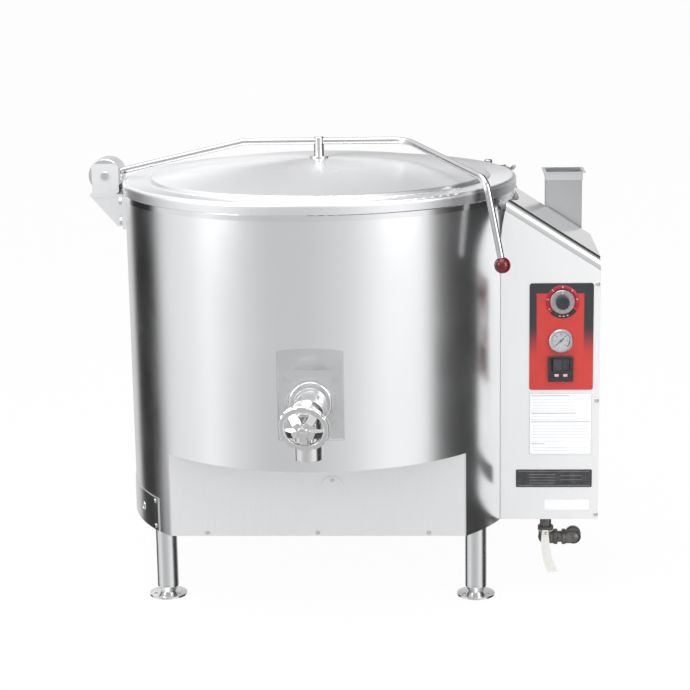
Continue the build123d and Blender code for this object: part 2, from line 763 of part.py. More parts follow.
# Stem: plain spindle from the disc through the bonnet to the wheel's nut.
wheel_hub_end = wheel_station + 24.0
wheel_hub_start = bonnet_end + 2.0
nut_height = 8.0
with BuildPart() as valve_stem:
    with BuildSketch(valve_plane(disc_station + disc_thickness + apart)):
        Circle(stem_radius)
    extrude(amount=wheel_hub_start - disc_station - disc_thickness - apart)
    with BuildSketch(valve_plane(wheel_hub_start)):
        Circle(stem_radius - 2)
    extrude(amount=wheel_hub_end + nut_height + 3 - wheel_hub_start)
export(valve_stem, "valve_stem")

# Handwheel: cast rim with shallow scallops, on broad spokes that sweep forward to a hub, as a dished wheel.
rim_inside = wheel_radius - wheel_rim_width
scallop_radius = 15.0
spoke_dish = 12.0           # how far the spokes run forward of the hub's edge
with BuildPart() as handwheel:
    with BuildSketch(valve_plane(wheel_station - wheel_rim_depth / 2)):
        Circle(wheel_radius)
        with PolarLocations(wheel_radius + scallop_radius - wheel_scallop_depth, wheel_scallops):
            Circle(scallop_radius, mode=Mode.SUBTRACT)
        Circle(rim_inside, mode=Mode.SUBTRACT)
    extrude(amount=wheel_rim_depth)
    rim_edges = handwheel.edges().filter_by(lambda edge: abs(edge.tangent_at(0).dot(valve_direction)) < 0.5)
    fillet(rim_edges, wheel_rim_depth * 0.3)
    with BuildSketch(valve_plane(wheel_hub_start)):
        Circle(wheel_hub_radius)
    extrude(amount=wheel_hub_end - wheel_hub_start)
    for spoke in range(wheel_spokes):
        turn = radians(wheel_first_spoke + 360 / wheel_spokes * spoke)
        radial = valve_plane(0).x_dir * cos(turn) + valve_plane(0).y_dir * sin(turn)
        with BuildSketch(Plane(origin=valve_foot, x_dir=radial, z_dir=radial.cross(valve_direction))):
            with BuildLine():
                Polyline(
                    (wheel_hub_radius - 3, wheel_hub_end - 4),
                    (wheel_hub_radius - 3, wheel_hub_start + 5),
                    (rim_inside + 2, wheel_station - 4),
                    (rim_inside + 2, wheel_station + 4),
                    (wheel_hub_radius + spoke_dish, wheel_hub_end - 6),
                    close=True,
                )
            make_face()
        extrude(amount=wheel_spoke_width / 2, both=True)
    with BuildSketch(valve_plane(wheel_hub_start)):
        Circle(stem_radius - 2 + running)
    extrude(amount=wheel_hub_end, mode=Mode.SUBTRACT)
export(handwheel, "handwheel")

# Nut that holds the wheel on the stem.
with BuildPart() as handwheel_nut:
    with BuildSketch(valve_plane(wheel_hub_end + seat)):
        RegularPolygon(hex_head / 2, 6, major_radius=False)
        Circle(stem_radius - 2 + running, mode=Mode.SUBTRACT)
    extrude(amount=nut_height)
export(handwheel_nut, "handwheel_nut")

# ---------------------------------------------------------------- lid
# Lid: one spun sheet: rolled skirt with an inward return, sloping flange, a step and a shallow dome.
with BuildPart() as lid:
    with BuildSketch(Plane.XZ) as lid_outline:
        with BuildLine():
            skirt = Line((lid_radius, lid_bottom), (lid_radius, lid_flange_height))
            flange = Line(skirt @ 1, (lid_dome_radius, lid_dome_foot))
            step = Line(flange @ 1, (lid_dome_radius - lid_step_run, lid_dome_foot + lid_step))
            ThreePointArc(step @ 1, (0, lid_apex), (lid_step_run - lid_dome_radius, lid_dome_foot + lid_step))
            mirror([skirt, flange, step], about=Plane.YZ)
            Line((-lid_radius, lid_bottom), (lid_radius, lid_bottom))
        make_face()
        corners = lid_outline.vertices()
        fillet(corners.filter_by_position(Axis.Y, lid_flange_height - 0.1, lid_flange_height + 0.1), 9)
        fillet(
            lid_outline.vertices().filter_by_position(Axis.X, -lid_dome_radius - 0.1, lid_dome_radius + 0.1)
            .filter_by_position(Axis.Y, lid_dome_foot - 0.1, lid_dome_foot + lid_step + 0.1), 4,
        )
        offset(amount=-lid_sheet, mode=Mode.SUBTRACT)
        with Locations((0, lid_bottom)):
            Rectangle(2 * (lid_radius - lid_return), 2 * lid_sheet + 1, mode=Mode.SUBTRACT)
        Rectangle(lid_radius, 2 * lid_apex, align=(Align.MIN, Align.MIN), mode=Mode.INTERSECT)
    revolve(axis=Axis.Z)
export(lid, "lid")

# Post: round stud welded on the lid's apex, cross-bored for the arm.
with BuildPart() as lid_post:
    with BuildSketch(Plane.XY.offset(lid_apex)):
        Circle(post_flange_radius)
    extrude(amount=post_flange)
    with BuildSketch(Plane.XY.offset(lid_apex)):
        Circle(post_radius)
    extrude(amount=post_height)
    chamfer(lid_post.edges().group_by(Axis.Z)[-1], 1.2)
    with BuildSketch(Plane.YZ):
        with Locations((0, arm_height)):
            Circle(arm_radius + running)
    extrude(amount=post_radius + 1, both=True, mode=Mode.SUBTRACT)
export(lid_post, "lid_post")

# ---------------------------------------------------------------- side hinge
hinge_pin_axis = Vector(hinge_x, 0, hinge_z)
arm_first_bend = Vector(-arm_bend_left, 0, arm_height)
arm_direction = (arm_first_bend - hinge_pin_axis).normalized()
arm_socket_depth = drum_wall - 2.0
arm_start = hinge_pin_axis + arm_direction * (drum_radius - arm_socket_depth)


def hinge_plane(y):
    """A plane square to the hinge pin, centred on it, facing the operator."""
    return facing(hinge_x, y, hinge_z)


# Drum: hollow barrel that turns on the pin between the two plates and carries the arm in a socket.
drum_half = hinge_half_width - apart
with BuildPart() as hinge_drum:
    with BuildSketch(hinge_plane(drum_half)):
        Circle(drum_radius)
    extrude(amount=2 * drum_half)
    chamfer(hinge_drum.edges(), 1.5)
    with BuildSketch(hinge_plane(drum_half - drum_end)):
        Circle(drum_radius - drum_wall)
    extrude(amount=2 * (drum_half - drum_end), mode=Mode.SUBTRACT)
    with BuildSketch(hinge_plane(drum_half)):
        Circle(pin_bore)
    extrude(amount=2 * drum_half, mode=Mode.SUBTRACT)
    with BuildSketch(Plane(origin=arm_start, z_dir=arm_direction)):
        Circle(arm_radius + running)
    extrude(amount=2 * drum_wall, mode=Mode.SUBTRACT)
export(hinge_drum, "hinge_drum")

# Arm: one bent bar from the drum through the post, down past the lid's edge to the knob.
with BuildPart() as lid_arm:
    with BuildLine():
        FilletPolyline(
            arm_start,
            arm_first_bend,
            (arm_bend_right, 0, arm_height),
            arm_outer_bend,
            arm_end,
            radius=(60, 60, 34),
        )
    with BuildSketch(Plane(origin=arm_start, z_dir=arm_direction)):
        Circle(arm_radius)
    sweep()
export(lid_arm, "lid_arm")

# Knob: ball screwed on the arm's end.
knob_thread = 10.0          # how deep the arm's end sits in the ball
arm_end_point = Vector(*arm_end)
arm_end_direction = (arm_end_point - Vector(*arm_outer_bend)).normalized()
with BuildPart() as lid_knob:
    with Locations(arm_end_point + arm_end_direction * (knob_radius - knob_thread)):
        Sphere(knob_radius)
    with BuildSketch(Plane(origin=arm_end_point - arm_end_direction * knob_radius, z_dir=arm_end_direction)):
        Circle(arm_radius + running)
    extrude(amount=knob_radius + running, mode=Mode.SUBTRACT)
export(lid_knob, "lid_knob")

# Housing: a channel with two upright plates and a floor, bored for the pin.
housing_floor = 3.0
housing_low = hinge_z - drum_radius - 1.0 - housing_floor
with BuildPart() as hinge_housing:
    with BuildSketch(hinge_plane(hinge_half_width + hinge_plate_sheet)) as housing_side:
        with Locations((-hinge_plate_back, hinge_plate_rise)):
            Rectangle(
                hinge_plate_back + hinge_plate_front,
                hinge_plate_rise + hinge_z - housing_low,
                align=(Align.MIN, Align.MAX),
            )
        fillet(housing_side.vertices().group_by(Axis.Z)[-1], hinge_corner)
    extrude(amount=2 * (hinge_half_width + hinge_plate_sheet))
    with BuildSketch(hinge_plane(hinge_half_width)):
        with Locations((0, housing_low + housing_floor - hinge_z)):
            Rectangle(4 * drum_radius, 4 * drum_radius, align=(Align.CENTER, Align.MIN))
    extrude(amount=2 * hinge_half_width, mode=Mode.SUBTRACT)
    with BuildSketch(hinge_plane(2 * hinge_half_width)):
        Circle(pin_bore)
    extrude(amount=4 * hinge_half_width, mode=Mode.SUBTRACT)
export(hinge_housing, "hinge_housing")

# Pin: headed shaft through both plates, with a groove that anchors the spring.
pin_end = hinge_half_width + hinge_plate_sheet + seat
with BuildPart() as hinge_pin:
    with BuildSketch(hinge_plane(pin_end + pin_head)):
        Circle(pin_radius)
    extrude(amount=2 * pin_end + pin_head)
    with BuildSketch(hinge_plane(-pin_end)):
        Circle(pin_head_radius)
    extrude(amount=pin_head)
    chamfer(hinge_pin.edges().group_by(Axis.Y)[0], 1)
export(hinge_pin, "hinge_pin")

# Spring: torsion coil round the pin inside the drum, one end tucked against the pin.
spring_half = drum_half - drum_end - spring_wire - 2
with BuildPart() as hinge_spring:
    with BuildLine() as coil:
        Helix(
            pitch=2 * spring_half / spring_turns,
            height=2 * spring_half,
            radius=spring_coil,
            center=(hinge_x, spring_half, hinge_z),
            direction=(0, -1, 0),
        )
    with BuildSketch(Plane(origin=coil.line @ 0, z_dir=coil.line % 0)):
        Circle(spring_wire)
    sweep()
    tang_start = coil.line @ 0
    tang_direction = (Vector(hinge_x, tang_start.Y, hinge_z) - tang_start).normalized()
    with BuildSketch(Plane(origin=tang_start, z_dir=tang_direction)):
        Circle(spring_wire - 0.5)
    extrude(amount=spring_coil - pin_radius - seat)
    with BuildSketch(hinge_plane(2 * hinge_half_width)):
        Circle(pin_bore + seat)
    extrude(amount=4 * hinge_half_width, mode=Mode.SUBTRACT)
export(hinge_spring, "hinge_spring")

# Bracket: top plate, two triangular gussets and a pad shaped to the shell.
bracket_top = housing_low - seat
bracket_half_width = hinge_half_width + hinge_plate_sheet + 2
pad_back = -shell_radius - pad_sheet
with BuildPart() as hinge_bracket:
    with BuildSketch(Plane.XY.offset(bracket_top - bracket_sheet)):
        with Locations((-shell_radius - bracket_reach, 0)):
            Rectangle(bracket_reach - pad_sheet + 1, 2 * bracket_half_width, align=(Align.MIN, Align.CENTER))
    extrude(amount=bracket_sheet)
    for gusset_y in (bracket_half_width - 2, -bracket_half_width + 2 + gusset_sheet):
        with BuildSketch(facing(0, gusset_y, bracket_top - bracket_sheet)):
            with BuildLine():
                Polyline(
                    (-shell_radius - bracket_reach + 3, 0.5),
                    (pad_back + 1, 0.5),
                    (pad_back + 1, -bracket_drop + bracket_sheet),
                    (pad_back - 15, -bracket_drop + bracket_sheet),
                    close=True,
                )
            make_face()
        extrude(amount=gusset_sheet)
    with BuildSketch(Plane.YZ.offset(pad_back)):
        with Locations((0, bracket_top)):
            Rectangle(2 * pad_half_width, bracket_drop + 4, align=(Align.CENTER, Align.MAX))
    extrude(amount=pad_sheet + 6)
    with BuildSketch(Plane.XY.offset(bracket_top - 2 * bracket_drop)):
        Circle(shell_radius + seat)
    extrude(amount=3 * bracket_drop, mode=Mode.SUBTRACT)
    with BuildSketch(Plane.XY.offset(rim_height - rim_lip_depth - seat)):
        Circle(shell_radius + rim_lip_wall + 2 * seat)
    extrude(amount=bracket_drop, mode=Mode.SUBTRACT)
    add(bolt_bores, mode=Mode.SUBTRACT)
export(hinge_bracket, "hinge_bracket")

# ---------------------------------------------------------------- control box
# The box stands against the shell. Its cover slopes down to the right and rolls over at the front.
box_slope_run = Vector(cos(radians(box_slope)), 0, -sin(radians(box_slope)))
box_cover_drop = 30.0       # height of the cover's front lip, measured down the face
box_left = shell_radius - 57.0   # construction line inside the shell, trimmed to the shell's curve
cover_left_z = box_low_top + (box_right - box_left) * tan(radians(box_slope))


def box_outline(inset):
    """The box's front outline seen from the operator's side, drawn in by an inset on its closed sides."""
    slope_inset = inset / cos(radians(box_slope))
    with BuildSketch(across(0)) as outline:
        with BuildLine():
            Polyline(
                (box_left, shell_bottom + inset),
                (box_right - inset, shell_bottom + inset),
                (box_right - inset, box_low_top + inset * tan(radians(box_slope)) - slope_inset),
                (box_left, cover_left_z - slope_inset),
                close=True,
            )
        make_face()
    return outline.sketch


def shell_side(clearance):
    """What the box leaves free for the shell: a drum that flares out towards the lid."""
    with BuildPart() as core:
        with BuildSketch(Plane.XZ):
            with BuildLine():
                foot = Line((0, 0), (shell_radius + clearance, 0))
                side = Line(foot @ 1, (shell_radius + clearance, box_flare_start))
                flare = TangentArc(side @ 1, (box_flare_radius + clearance, box_flare_top), tangent=(0, 1))
                top = Line(flare @ 1, (box_flare_radius + clearance, 2 * box_flare_top))
                Polyline(top @ 1, (0, 2 * box_flare_top), (0, 0))
            make_face()
        revolve(axis=Axis.Z)
    return core.part


def box_form(inset, clearance, rolled):
    """The box as a solid, drawn in by an inset, with its front top edge rolled."""
    outline = box_outline(inset).moved(Location((0, box_back - inset, 0)))
    body = extrude(outline, amount=box_front + box_back - 2 * inset)
    front_edges = body.edges().filter_by(lambda edge: abs(edge.center().Y + box_front - inset) < 1e-3)
    roll_edge = front_edges.sort_by(lambda edge: edge.center().Z)[-2:].sort_by(lambda edge: edge.length)[-1]
    return body.fillet(rolled, [roll_edge]) - shell_side(clearance)


box_outside = box_form(0, seat * 2, box_roll)
box_inside = box_form(box_sheet, seat * 2 + box_sheet, box_roll - box_sheet)
box_shell = box_outside - box_inside
# The seam between cover and body runs parallel to the slope, below the rolled edge.
seam_origin = Vector(box_right, 0, box_low_top - box_cover_drop)
seam_normal = (sin(radians(box_slope)), 0, cos(radians(box_slope)))
seam = Plane(origin=seam_origin, x_dir=box_slope_run, z_dir=seam_normal)
box_body = split(box_shell, bisect_by=seam.offset(-seat), keep=Keep.BOTTOM)
box_hood = split(box_shell, bisect_by=seam, keep=Keep.TOP)

panel_x = shell_radius + 102.5
panel_z = 610.7
panel_width = 146.0
panel_height = 250.0
panel_plate = 1.5
panel_corner = 6.0
dial_x = panel_x + 2.0
dial_z = 692.4
gauge_x = panel_x - 0.9
gauge_z = 602.0
gauge_radius = 27.0
gauge_body_radius = 23.0
switch_x = panel_x - 1.2
switch_z = 535.8
switch_width = 57.0
switch_height = 59.0
switch_body_width = 52.0    # the part behind the sheet
switch_body_height = 54.0
dial_shaft = 3.0
shaft_clear = 1.5           # round the dial's shaft in the sheets
box_screw_places = ((box_right - 6.4, 733.0), (box_right - 5.4, 186.3), (box_right - 6.4, 460.0))
gas_radius = 13.35          # outside of the gas pipe



def front_cutters(plane, depth):
    """What the box front and the control plate leave open: the dial's shaft, the gauge and the switch."""
    with BuildPart() as cutters:
        with BuildSketch(plane):
            with Locations((dial_x, dial_z)):
                Circle(dial_shaft + shaft_clear)
            with Locations((gauge_x, gauge_z)):
                Circle(gauge_body_radius + seat)
            with Locations((switch_x, switch_z)):
                Rectangle(switch_body_width + 2 * seat, switch_body_height + 2 * seat)
        extrude(amount=depth)
    return cutters.part


# Box: folded body, open behind, with the controls' cut-outs in its front and the gas pipe's hole below.
with BuildPart() as control_box:
    add(box_body)
    with BuildSketch(across(box_back - box_sheet)):
        with Locations((shell_radius, 0)):
            Rectangle(4 * shell_radius, 4 * shell_radius)
    extrude(amount=-box_sheet * 2, mode=Mode.SUBTRACT)
    add(front_cutters(across(-box_front + 2 * box_sheet), 3 * box_sheet), mode=Mode.SUBTRACT)
    with BuildSketch(across(-box_front + 2 * box_sheet)):
        with Locations(*box_screw_places):
            Circle(small_screw + running)
    extrude(amount=3 * box_sheet, mode=Mode.SUBTRACT)
    with BuildSketch(Plane.XY.offset(shell_bottom)):
        with Locations((gas_x, gas_y)):
            Circle(gas_radius + pipe_clear)
    extrude(amount=box_sheet, mode=Mode.SUBTRACT)
    with BuildSketch(Plane.YZ):
        with Locations((manifold_y, burner_height)):
            Circle(manifold_radius + pipe_clear)
    extrude(amount=gas_x, mode=Mode.SUBTRACT)
export(control_box, "control_box")

with BuildPart() as control_box_cover:
    add(box_hood)
export(control_box_cover, "control_box_cover")

# Back: flat sheet that closes the box behind, below the cover.
back_sheet = extrude(box_outline(0).moved(Location((0, box_back, 0))), amount=box_sheet - seat)
with BuildPart() as control_box_back:
    add(back_sheet)
    add(shell_side(2 * seat), mode=Mode.SUBTRACT)
    split(bisect_by=seam.offset(-seat), keep=Keep.BOTTOM)
export(control_box_back, "control_box_back")

# Control plate: printed sheet on the box's front, with holes for the dial shaft, gauge and switch.
plate_face = -box_front - panel_plate       # y of the control plate's front face
with BuildPart() as control_panel_plate:
    with BuildSketch(across(-box_front)):
        with Locations((panel_x, panel_z)):
            RectangleRounded(panel_width, panel_height, panel_corner)
    extrude(amount=panel_plate)
    add(front_cutters(across(-box_front + box_sheet), panel_plate + 2 * box_sheet), mode=Mode.SUBTRACT)
export(control_panel_plate, "control_panel_plate")

# Thermostat: round body behind the sheet with a shaft, and a dial of skirt and grip on the shaft.
dial_skirt_radius = 27.5
dial_skirt = 4.0
dial_grip_radius = 15.5
dial_grip = 15.0
shaft_length = 12.0
thermostat_radius = 24.0
thermostat_depth = 34.0
with BuildPart() as thermostat_body:
    with BuildSketch(facing(dial_x, -box_front + box_sheet + seat, dial_z)):
        Circle(thermostat_radius)
    extrude(amount=-thermostat_depth)
    with BuildSketch(facing(dial_x, -box_front + box_sheet + seat, dial_z)):
        Circle(dial_shaft)
    extrude(amount=box_sheet + seat + panel_plate + shaft_length)
export(thermostat_body, "thermostat_body")

grip_flutes = 12
grip_flute_radius = 1.8
with BuildPart() as thermostat_dial:
    with BuildSketch(facing(dial_x, plate_face - apart, dial_z)):
        Circle(dial_skirt_radius)
    extrude(amount=dial_skirt)
    chamfer(thermostat_dial.edges().group_by(Axis.Y)[0], 1)
    with BuildSketch(facing(dial_x, plate_face - apart - dial_skirt, dial_z)):
        Circle(dial_grip_radius)
        with PolarLocations(dial_grip_radius + grip_flute_radius / 3, grip_flutes):
            Circle(grip_flute_radius, mode=Mode.SUBTRACT)
    extrude(amount=dial_grip)
    chamfer(thermostat_dial.edges().group_by(Axis.Y)[0], 0.6)
    with BuildSketch(facing(dial_x, plate_face - apart, dial_z)):
        Circle(dial_shaft + running)
    extrude(amount=shaft_length, mode=Mode.SUBTRACT)
export(thermostat_dial, "thermostat_dial")

# Gauge: turned case with a front bezel, printed face, needle on a post, and a flat glass.
bezel_depth = 9.0
bezel_wall = 2.5
gauge_case_depth = 30.0
gauge_back = plate_face - 1.5       # y of the floor of the dial well
gauge_stub_radius = 6.0
gauge_stub_length = 16.0
with BuildPart() as gauge_case:
    with BuildSketch(facing(gauge_x, plate_face, gauge_z)):
        Circle(gauge_radius)
    extrude(amount=bezel_depth)
    chamfer(gauge_case.edges().group_by(Axis.Y)[0], 1.2)
    with BuildSketch(facing(gauge_x, plate_face, gauge_z)):
        Circle(gauge_body_radius)
    extrude(amount=-gauge_case_depth)
    with BuildSketch(facing(gauge_x, gauge_back, gauge_z)):
        Circle(gauge_radius - bezel_wall)
    extrude(amount=bezel_depth, mode=Mode.SUBTRACT)
    with BuildSketch(facing(gauge_x, plate_face + gauge_case_depth, gauge_z)):
        Circle(gauge_stub_radius)
    extrude(amount=-gauge_stub_length)
export(gauge_case, "gauge_case")

# Face: printed disc with the needle's post at its centre.
gauge_face_sheet = 0.8
needle_post = 1.2
needle_post_rise = 2.2
with BuildPart() as gauge_face:
    with BuildSketch(facing(gauge_x, gauge_back, gauge_z)):
        Circle(gauge_radius - bezel_wall - seat)
    extrude(amount=gauge_face_sheet)
    with BuildSketch(facing(gauge_x, gauge_back, gauge_z)):
        Circle(needle_post)
    extrude(amount=gauge_face_sheet + needle_post_rise)
export(gauge_face, "gauge_face")

# Needle: a thin tapered pointer with a round hub, free on its post.
needle_length = 17.0
needle_tail = 9.0
needle_tail_half = 1.2
needle_tip_half = 0.35
needle_hub = 3.0
needle_sheet = 1.0
needle_angle = 222.0        # at rest, counter-clockwise from the right, seen from the front
needle_plane = Plane(
    origin=(gauge_x, gauge_back - gauge_face_sheet - apart, gauge_z),
    x_dir=(cos(radians(needle_angle)), 0, sin(radians(needle_angle))),
    z_dir=(0, -1, 0),
)
with BuildPart() as gauge_needle:
    with BuildSketch(needle_plane):
        Circle(needle_hub)
        with BuildLine():
            Polyline(
                (-needle_tail, -needle_tail_half),
                (needle_length, -needle_tip_half),
                (needle_length, needle_tip_half),
                (-needle_tail, needle_tail_half),
                close=True,
            )
        make_face()
        Circle(needle_post + running, mode=Mode.SUBTRACT)
    extrude(amount=needle_sheet)
export(gauge_needle, "gauge_needle")

# Glass: flat disc just inside the bezel.
lens_sheet = 1.5
lens_inset = 0.5
with BuildPart() as gauge_lens:
    with BuildSketch(facing(gauge_x, plate_face - bezel_depth + lens_sheet + lens_inset, gauge_z)):
        Circle(gauge_radius - bezel_wall - seat)
    extrude(amount=lens_sheet)
export(gauge_lens, "gauge_lens")

# Switch: moulded housing with a window for the rocker, and a body through the sheet behind it.
switch_proud = 7.0
switch_corner = 2.0
switch_depth = 25.0
rocker_width = 41.0
rocker_height = 27.0
rocker_z = switch_z + 11.2
rocker_gap = 0.5
rocker_tilt = 8.0
rocker_pivot_y = plate_face - 1.0
rocker_well = 6.0
lamp_places = ((-9.5, -14.0), (10.5, -14.0))
lamp_width = 10.0
lamp_height = 6.0
lamp_depth = 1.0
with BuildPart() as switch_housing:
    with BuildSketch(facing(switch_x, plate_face, switch_z)):
        RectangleRounded(switch_width, switch_height, switch_corner)
    extrude(amount=switch_proud)
    chamfer(switch_housing.edges().group_by(Axis.Y)[0], 1)
    with BuildSketch(facing(switch_x, plate_face, switch_z)):
        Rectangle(switch_body_width, switch_body_height)
    extrude(amount=-switch_depth)
    with BuildSketch(facing(switch_x, plate_face + rocker_well, rocker_z)):
        Rectangle(rocker_width + 2 * rocker_gap, rocker_height + 2 * rocker_gap)
    extrude(amount=rocker_well + switch_proud, mode=Mode.SUBTRACT)
    with BuildSketch(facing(switch_x, plate_face - switch_proud + lamp_depth, switch_z)):
        with Locations(*lamp_places):
            Rectangle(lamp_width, lamp_height)
    extrude(amount=2 * lamp_depth, mode=Mode.SUBTRACT)
export(switch_housing, "switch_housing")

# Lamps: two small lenses in pockets of the switch housing, below the rocker.
with BuildPart() as indicator_lamps:
    with BuildSketch(facing(switch_x, plate_face - switch_proud + lamp_depth - seat, switch_z)):
        with Locations(*lamp_places):
            Rectangle(lamp_width - 2 * seat, lamp_height - 2 * seat)
    extrude(amount=lamp_depth + 2 * seat)
export(indicator_lamps, "indicator_lamps")

# Rocker: two faces that meet in a shallow valley, with ends that are arcs about the pivot.
rocker_pivot = Vector(switch_x, rocker_pivot_y, rocker_z)
rocker_foot = Plane(origin=rocker_pivot - Vector(0, 0, rocker_height / 2), x_dir=(1, 0, 0))
rocker_end = -switch_proud - rocker_width * sin(radians(rocker_tilt))
with BuildPart() as switch_rocker:
    with BuildSketch(rocker_foot.rotated((0, 0, rocker_tilt))):
        Circle(rocker_width / 2)
        with BuildLine():
            Polyline(
                (-rocker_width, 0.5),
                (rocker_width, 0.5),
                (rocker_width, rocker_end),
                (0, -switch_proud + 0.5),
                (-rocker_width, rocker_end),
                close=True,
            )
        make_face(mode=Mode.INTERSECT)
    extrude(amount=rocker_height)
export(switch_rocker, "switch_rocker")

# Plates: two plain white sheets and a dark riveted plate, all left bare.
label_sheet = 0.6
large_label = (144.0, 147.5)
large_label_centre = (panel_x - 0.5, 404.5)
small_label = (103.5, 24.5)
small_label_centre = (panel_x + 15.8, 209.2)
with BuildPart() as label_plates:
    with BuildSketch(across(-box_front - seat)):
        with Locations(large_label_centre):
            Rectangle(*large_label)
        with Locations(small_label_centre):
            Rectangle(*small_label)
    extrude(amount=label_sheet)
export(label_plates, "label_plates")

rating_width = 176.0
rating_height = 42.5
rating_corner = 3.0
rating_centre = (panel_x - 14.7, 273.4)
rating_sheet = 0.8
rivet_radius = 2.4
rivet_inset = 6.0
rivet_rise = 1.4
with BuildPart() as rating_plate:
    with BuildSketch(across(-box_front - seat)):
        with Locations(rating_centre):
            RectangleRounded(rating_width, rating_height, rating_corner)
    extrude(amount=rating_sheet)
    with BuildSketch(across(-box_front - seat)):
        with Locations(rating_centre):
            with GridLocations(rating_width - 2 * rivet_inset, 1, 2, 1):
                Circle(rivet_radius)
    extrude(amount=rating_sheet + rivet_rise)
export(rating_plate, "rating_plate")


# Small screws: front panel, sight cover pivot, side cover and control box, all of one kind.
def screw_row(plane, places):
    """Round-head screws on a plane, heads outward."""
    with BuildPart() as row:
        with BuildSketch(plane):
            with Locations(*places):
                Circle(small_screw)
        extrude(amount=-small_screw_length)
        with BuildSketch(plane):
            with Locations(*places):
                Circle(small_screw_head)
        extrude(amount=small_screw_rise)
        by_height = row.edges().group_by(lambda edge: plane.to_local_coords(edge.center()).Z)
        chamfer(by_height[-1], small_screw_rise / 3)
    return row.part


panel_screw_z = panel_low + panel_screw_rise
panel_screw_places = [(x, panel_screw_z) for x in (-panel_screw_spacing, 0, panel_screw_spacing)]
sight_screw_place = (sight_x, sight_z + sight_pivot_rise)
cover_face = shell_radius + cover_sheet + 2 * seat
with BuildPart() as panel_screws:
    add(screw_row(across(-flat_front - seat), panel_screw_places))
    add(screw_row(across(-flat_front - panel_sheet - 2 * apart), [sight_screw_place]))
    add(screw_row(across(-box_front - seat), box_screw_places))
    add(cover_rods(small_screw, cover_face - small_screw_length, cover_face))
    add(cover_rods(small_screw_head, cover_face, cover_face + small_screw_rise))
export(panel_screws, "panel_screws")

# ---------------------------------------------------------------- gas train
# Gas valve: block inside the box between the inlet nipple below and the manifold at its left.
gas_valve_height = 84.0
gas_valve_depth = 60.0
gas_valve_corner = 6.0
gas_valve_cap_radius = 18.0
gas_valve_cap = 12.0
gas_valve_bottom = burner_height - 40.0
with BuildPart() as gas_valve:
    with BuildSketch(Plane.XY.offset(gas_valve_bottom)):
        with Locations((gas_x, gas_y)):
            RectangleRounded(valve_block, gas_valve_depth, gas_valve_corner)
    extrude(amount=gas_valve_height)
    with BuildSketch(Plane.XY.offset(gas_valve_bottom + gas_valve_height)):
        with Locations((gas_x, gas_y)):
            Circle(gas_valve_cap_radius)
    extrude(amount=gas_valve_cap)
export(gas_valve, "gas_valve")

# Elbows: two banded iron elbows, the upper from down to right, the lower from left to rear.
elbow_centre_z = 112.0
elbow_reach = 28.0
elbow_thread = 13.0
band_radius = 18.5
band_width = 9.0
elbow_wall_radius = 16.5
elbow_bore = 12.5
inlet_x = gas_x + 66.3


def elbow(corner, first, second):
    """A banded pipe elbow: two arms from a ball at the corner, along two directions."""
    with BuildPart() as fitting:
        with Locations(corner):
            Sphere(elbow_wall_radius + 1)
        for direction in (first, second):
            with BuildSketch(Plane(origin=corner, z_dir=direction)):
                Circle(elbow_wall_radius)
            extrude(amount=elbow_reach)
            with BuildSketch(Plane(origin=corner + direction * (elbow_reach - band_width), z_dir=direction)):
                Circle(band_radius)
            extrude(amount=band_width)
        round_edges = fitting.edges().filter_by(GeomType.CIRCLE)
        chamfer(round_edges.filter_by(lambda edge: abs(edge.radius - band_radius) < 1e-3), 1)
        with Locations(corner):
            Sphere(elbow_bore, mode=Mode.SUBTRACT)
        for direction in (first, second):
            with BuildSketch(Plane(origin=corner, z_dir=direction)):
                Circle(elbow_bore)
            extrude(amount=elbow_reach, mode=Mode.SUBTRACT)
            mouth = Plane(origin=corner + direction * elbow_reach, z_dir=direction)
            with BuildSketch(mouth):
                Circle(gas_radius + running)
            extrude(amount=-elbow_thread, mode=Mode.SUBTRACT)
    return fitting.part


upper_corner = Vector(gas_x, gas_y, elbow_centre_z)
inlet_corner = Vector(inlet_x, gas_y, elbow_centre_z)
with BuildPart() as gas_elbows:
    add(elbow(upper_corner, Vector(0, 0, 1), Vector(1, 0, 0)))
    add(elbow(inlet_corner, Vector(-1, 0, 0), Vector(0, 1, 0)))
export(gas_elbows, "gas_elbows")

# Nipples: short pipes from the gas valve to the upper elbow, and between the two elbows.
nipple_start = elbow_reach - elbow_thread + seat       # from an elbow's centre
with BuildPart() as gas_nipples:
    with BuildSketch(Plane.XY.offset(elbow_centre_z + nipple_start)):
        with Locations((gas_x, gas_y)):
            Circle(gas_radius)
            Circle(gas_radius - pipe_wall, mode=Mode.SUBTRACT)
    extrude(amount=gas_valve_bottom - seat - elbow_centre_z - nipple_start)
    with BuildSketch(Plane.YZ.offset(gas_x + nipple_start)):
        with Locations((gas_y, elbow_centre_z)):
            Circle(gas_radius)
            Circle(gas_radius - pipe_wall, mode=Mode.SUBTRACT)
    extrude(amount=inlet_x - gas_x - 2 * nipple_start)
export(gas_nipples, "gas_nipples")

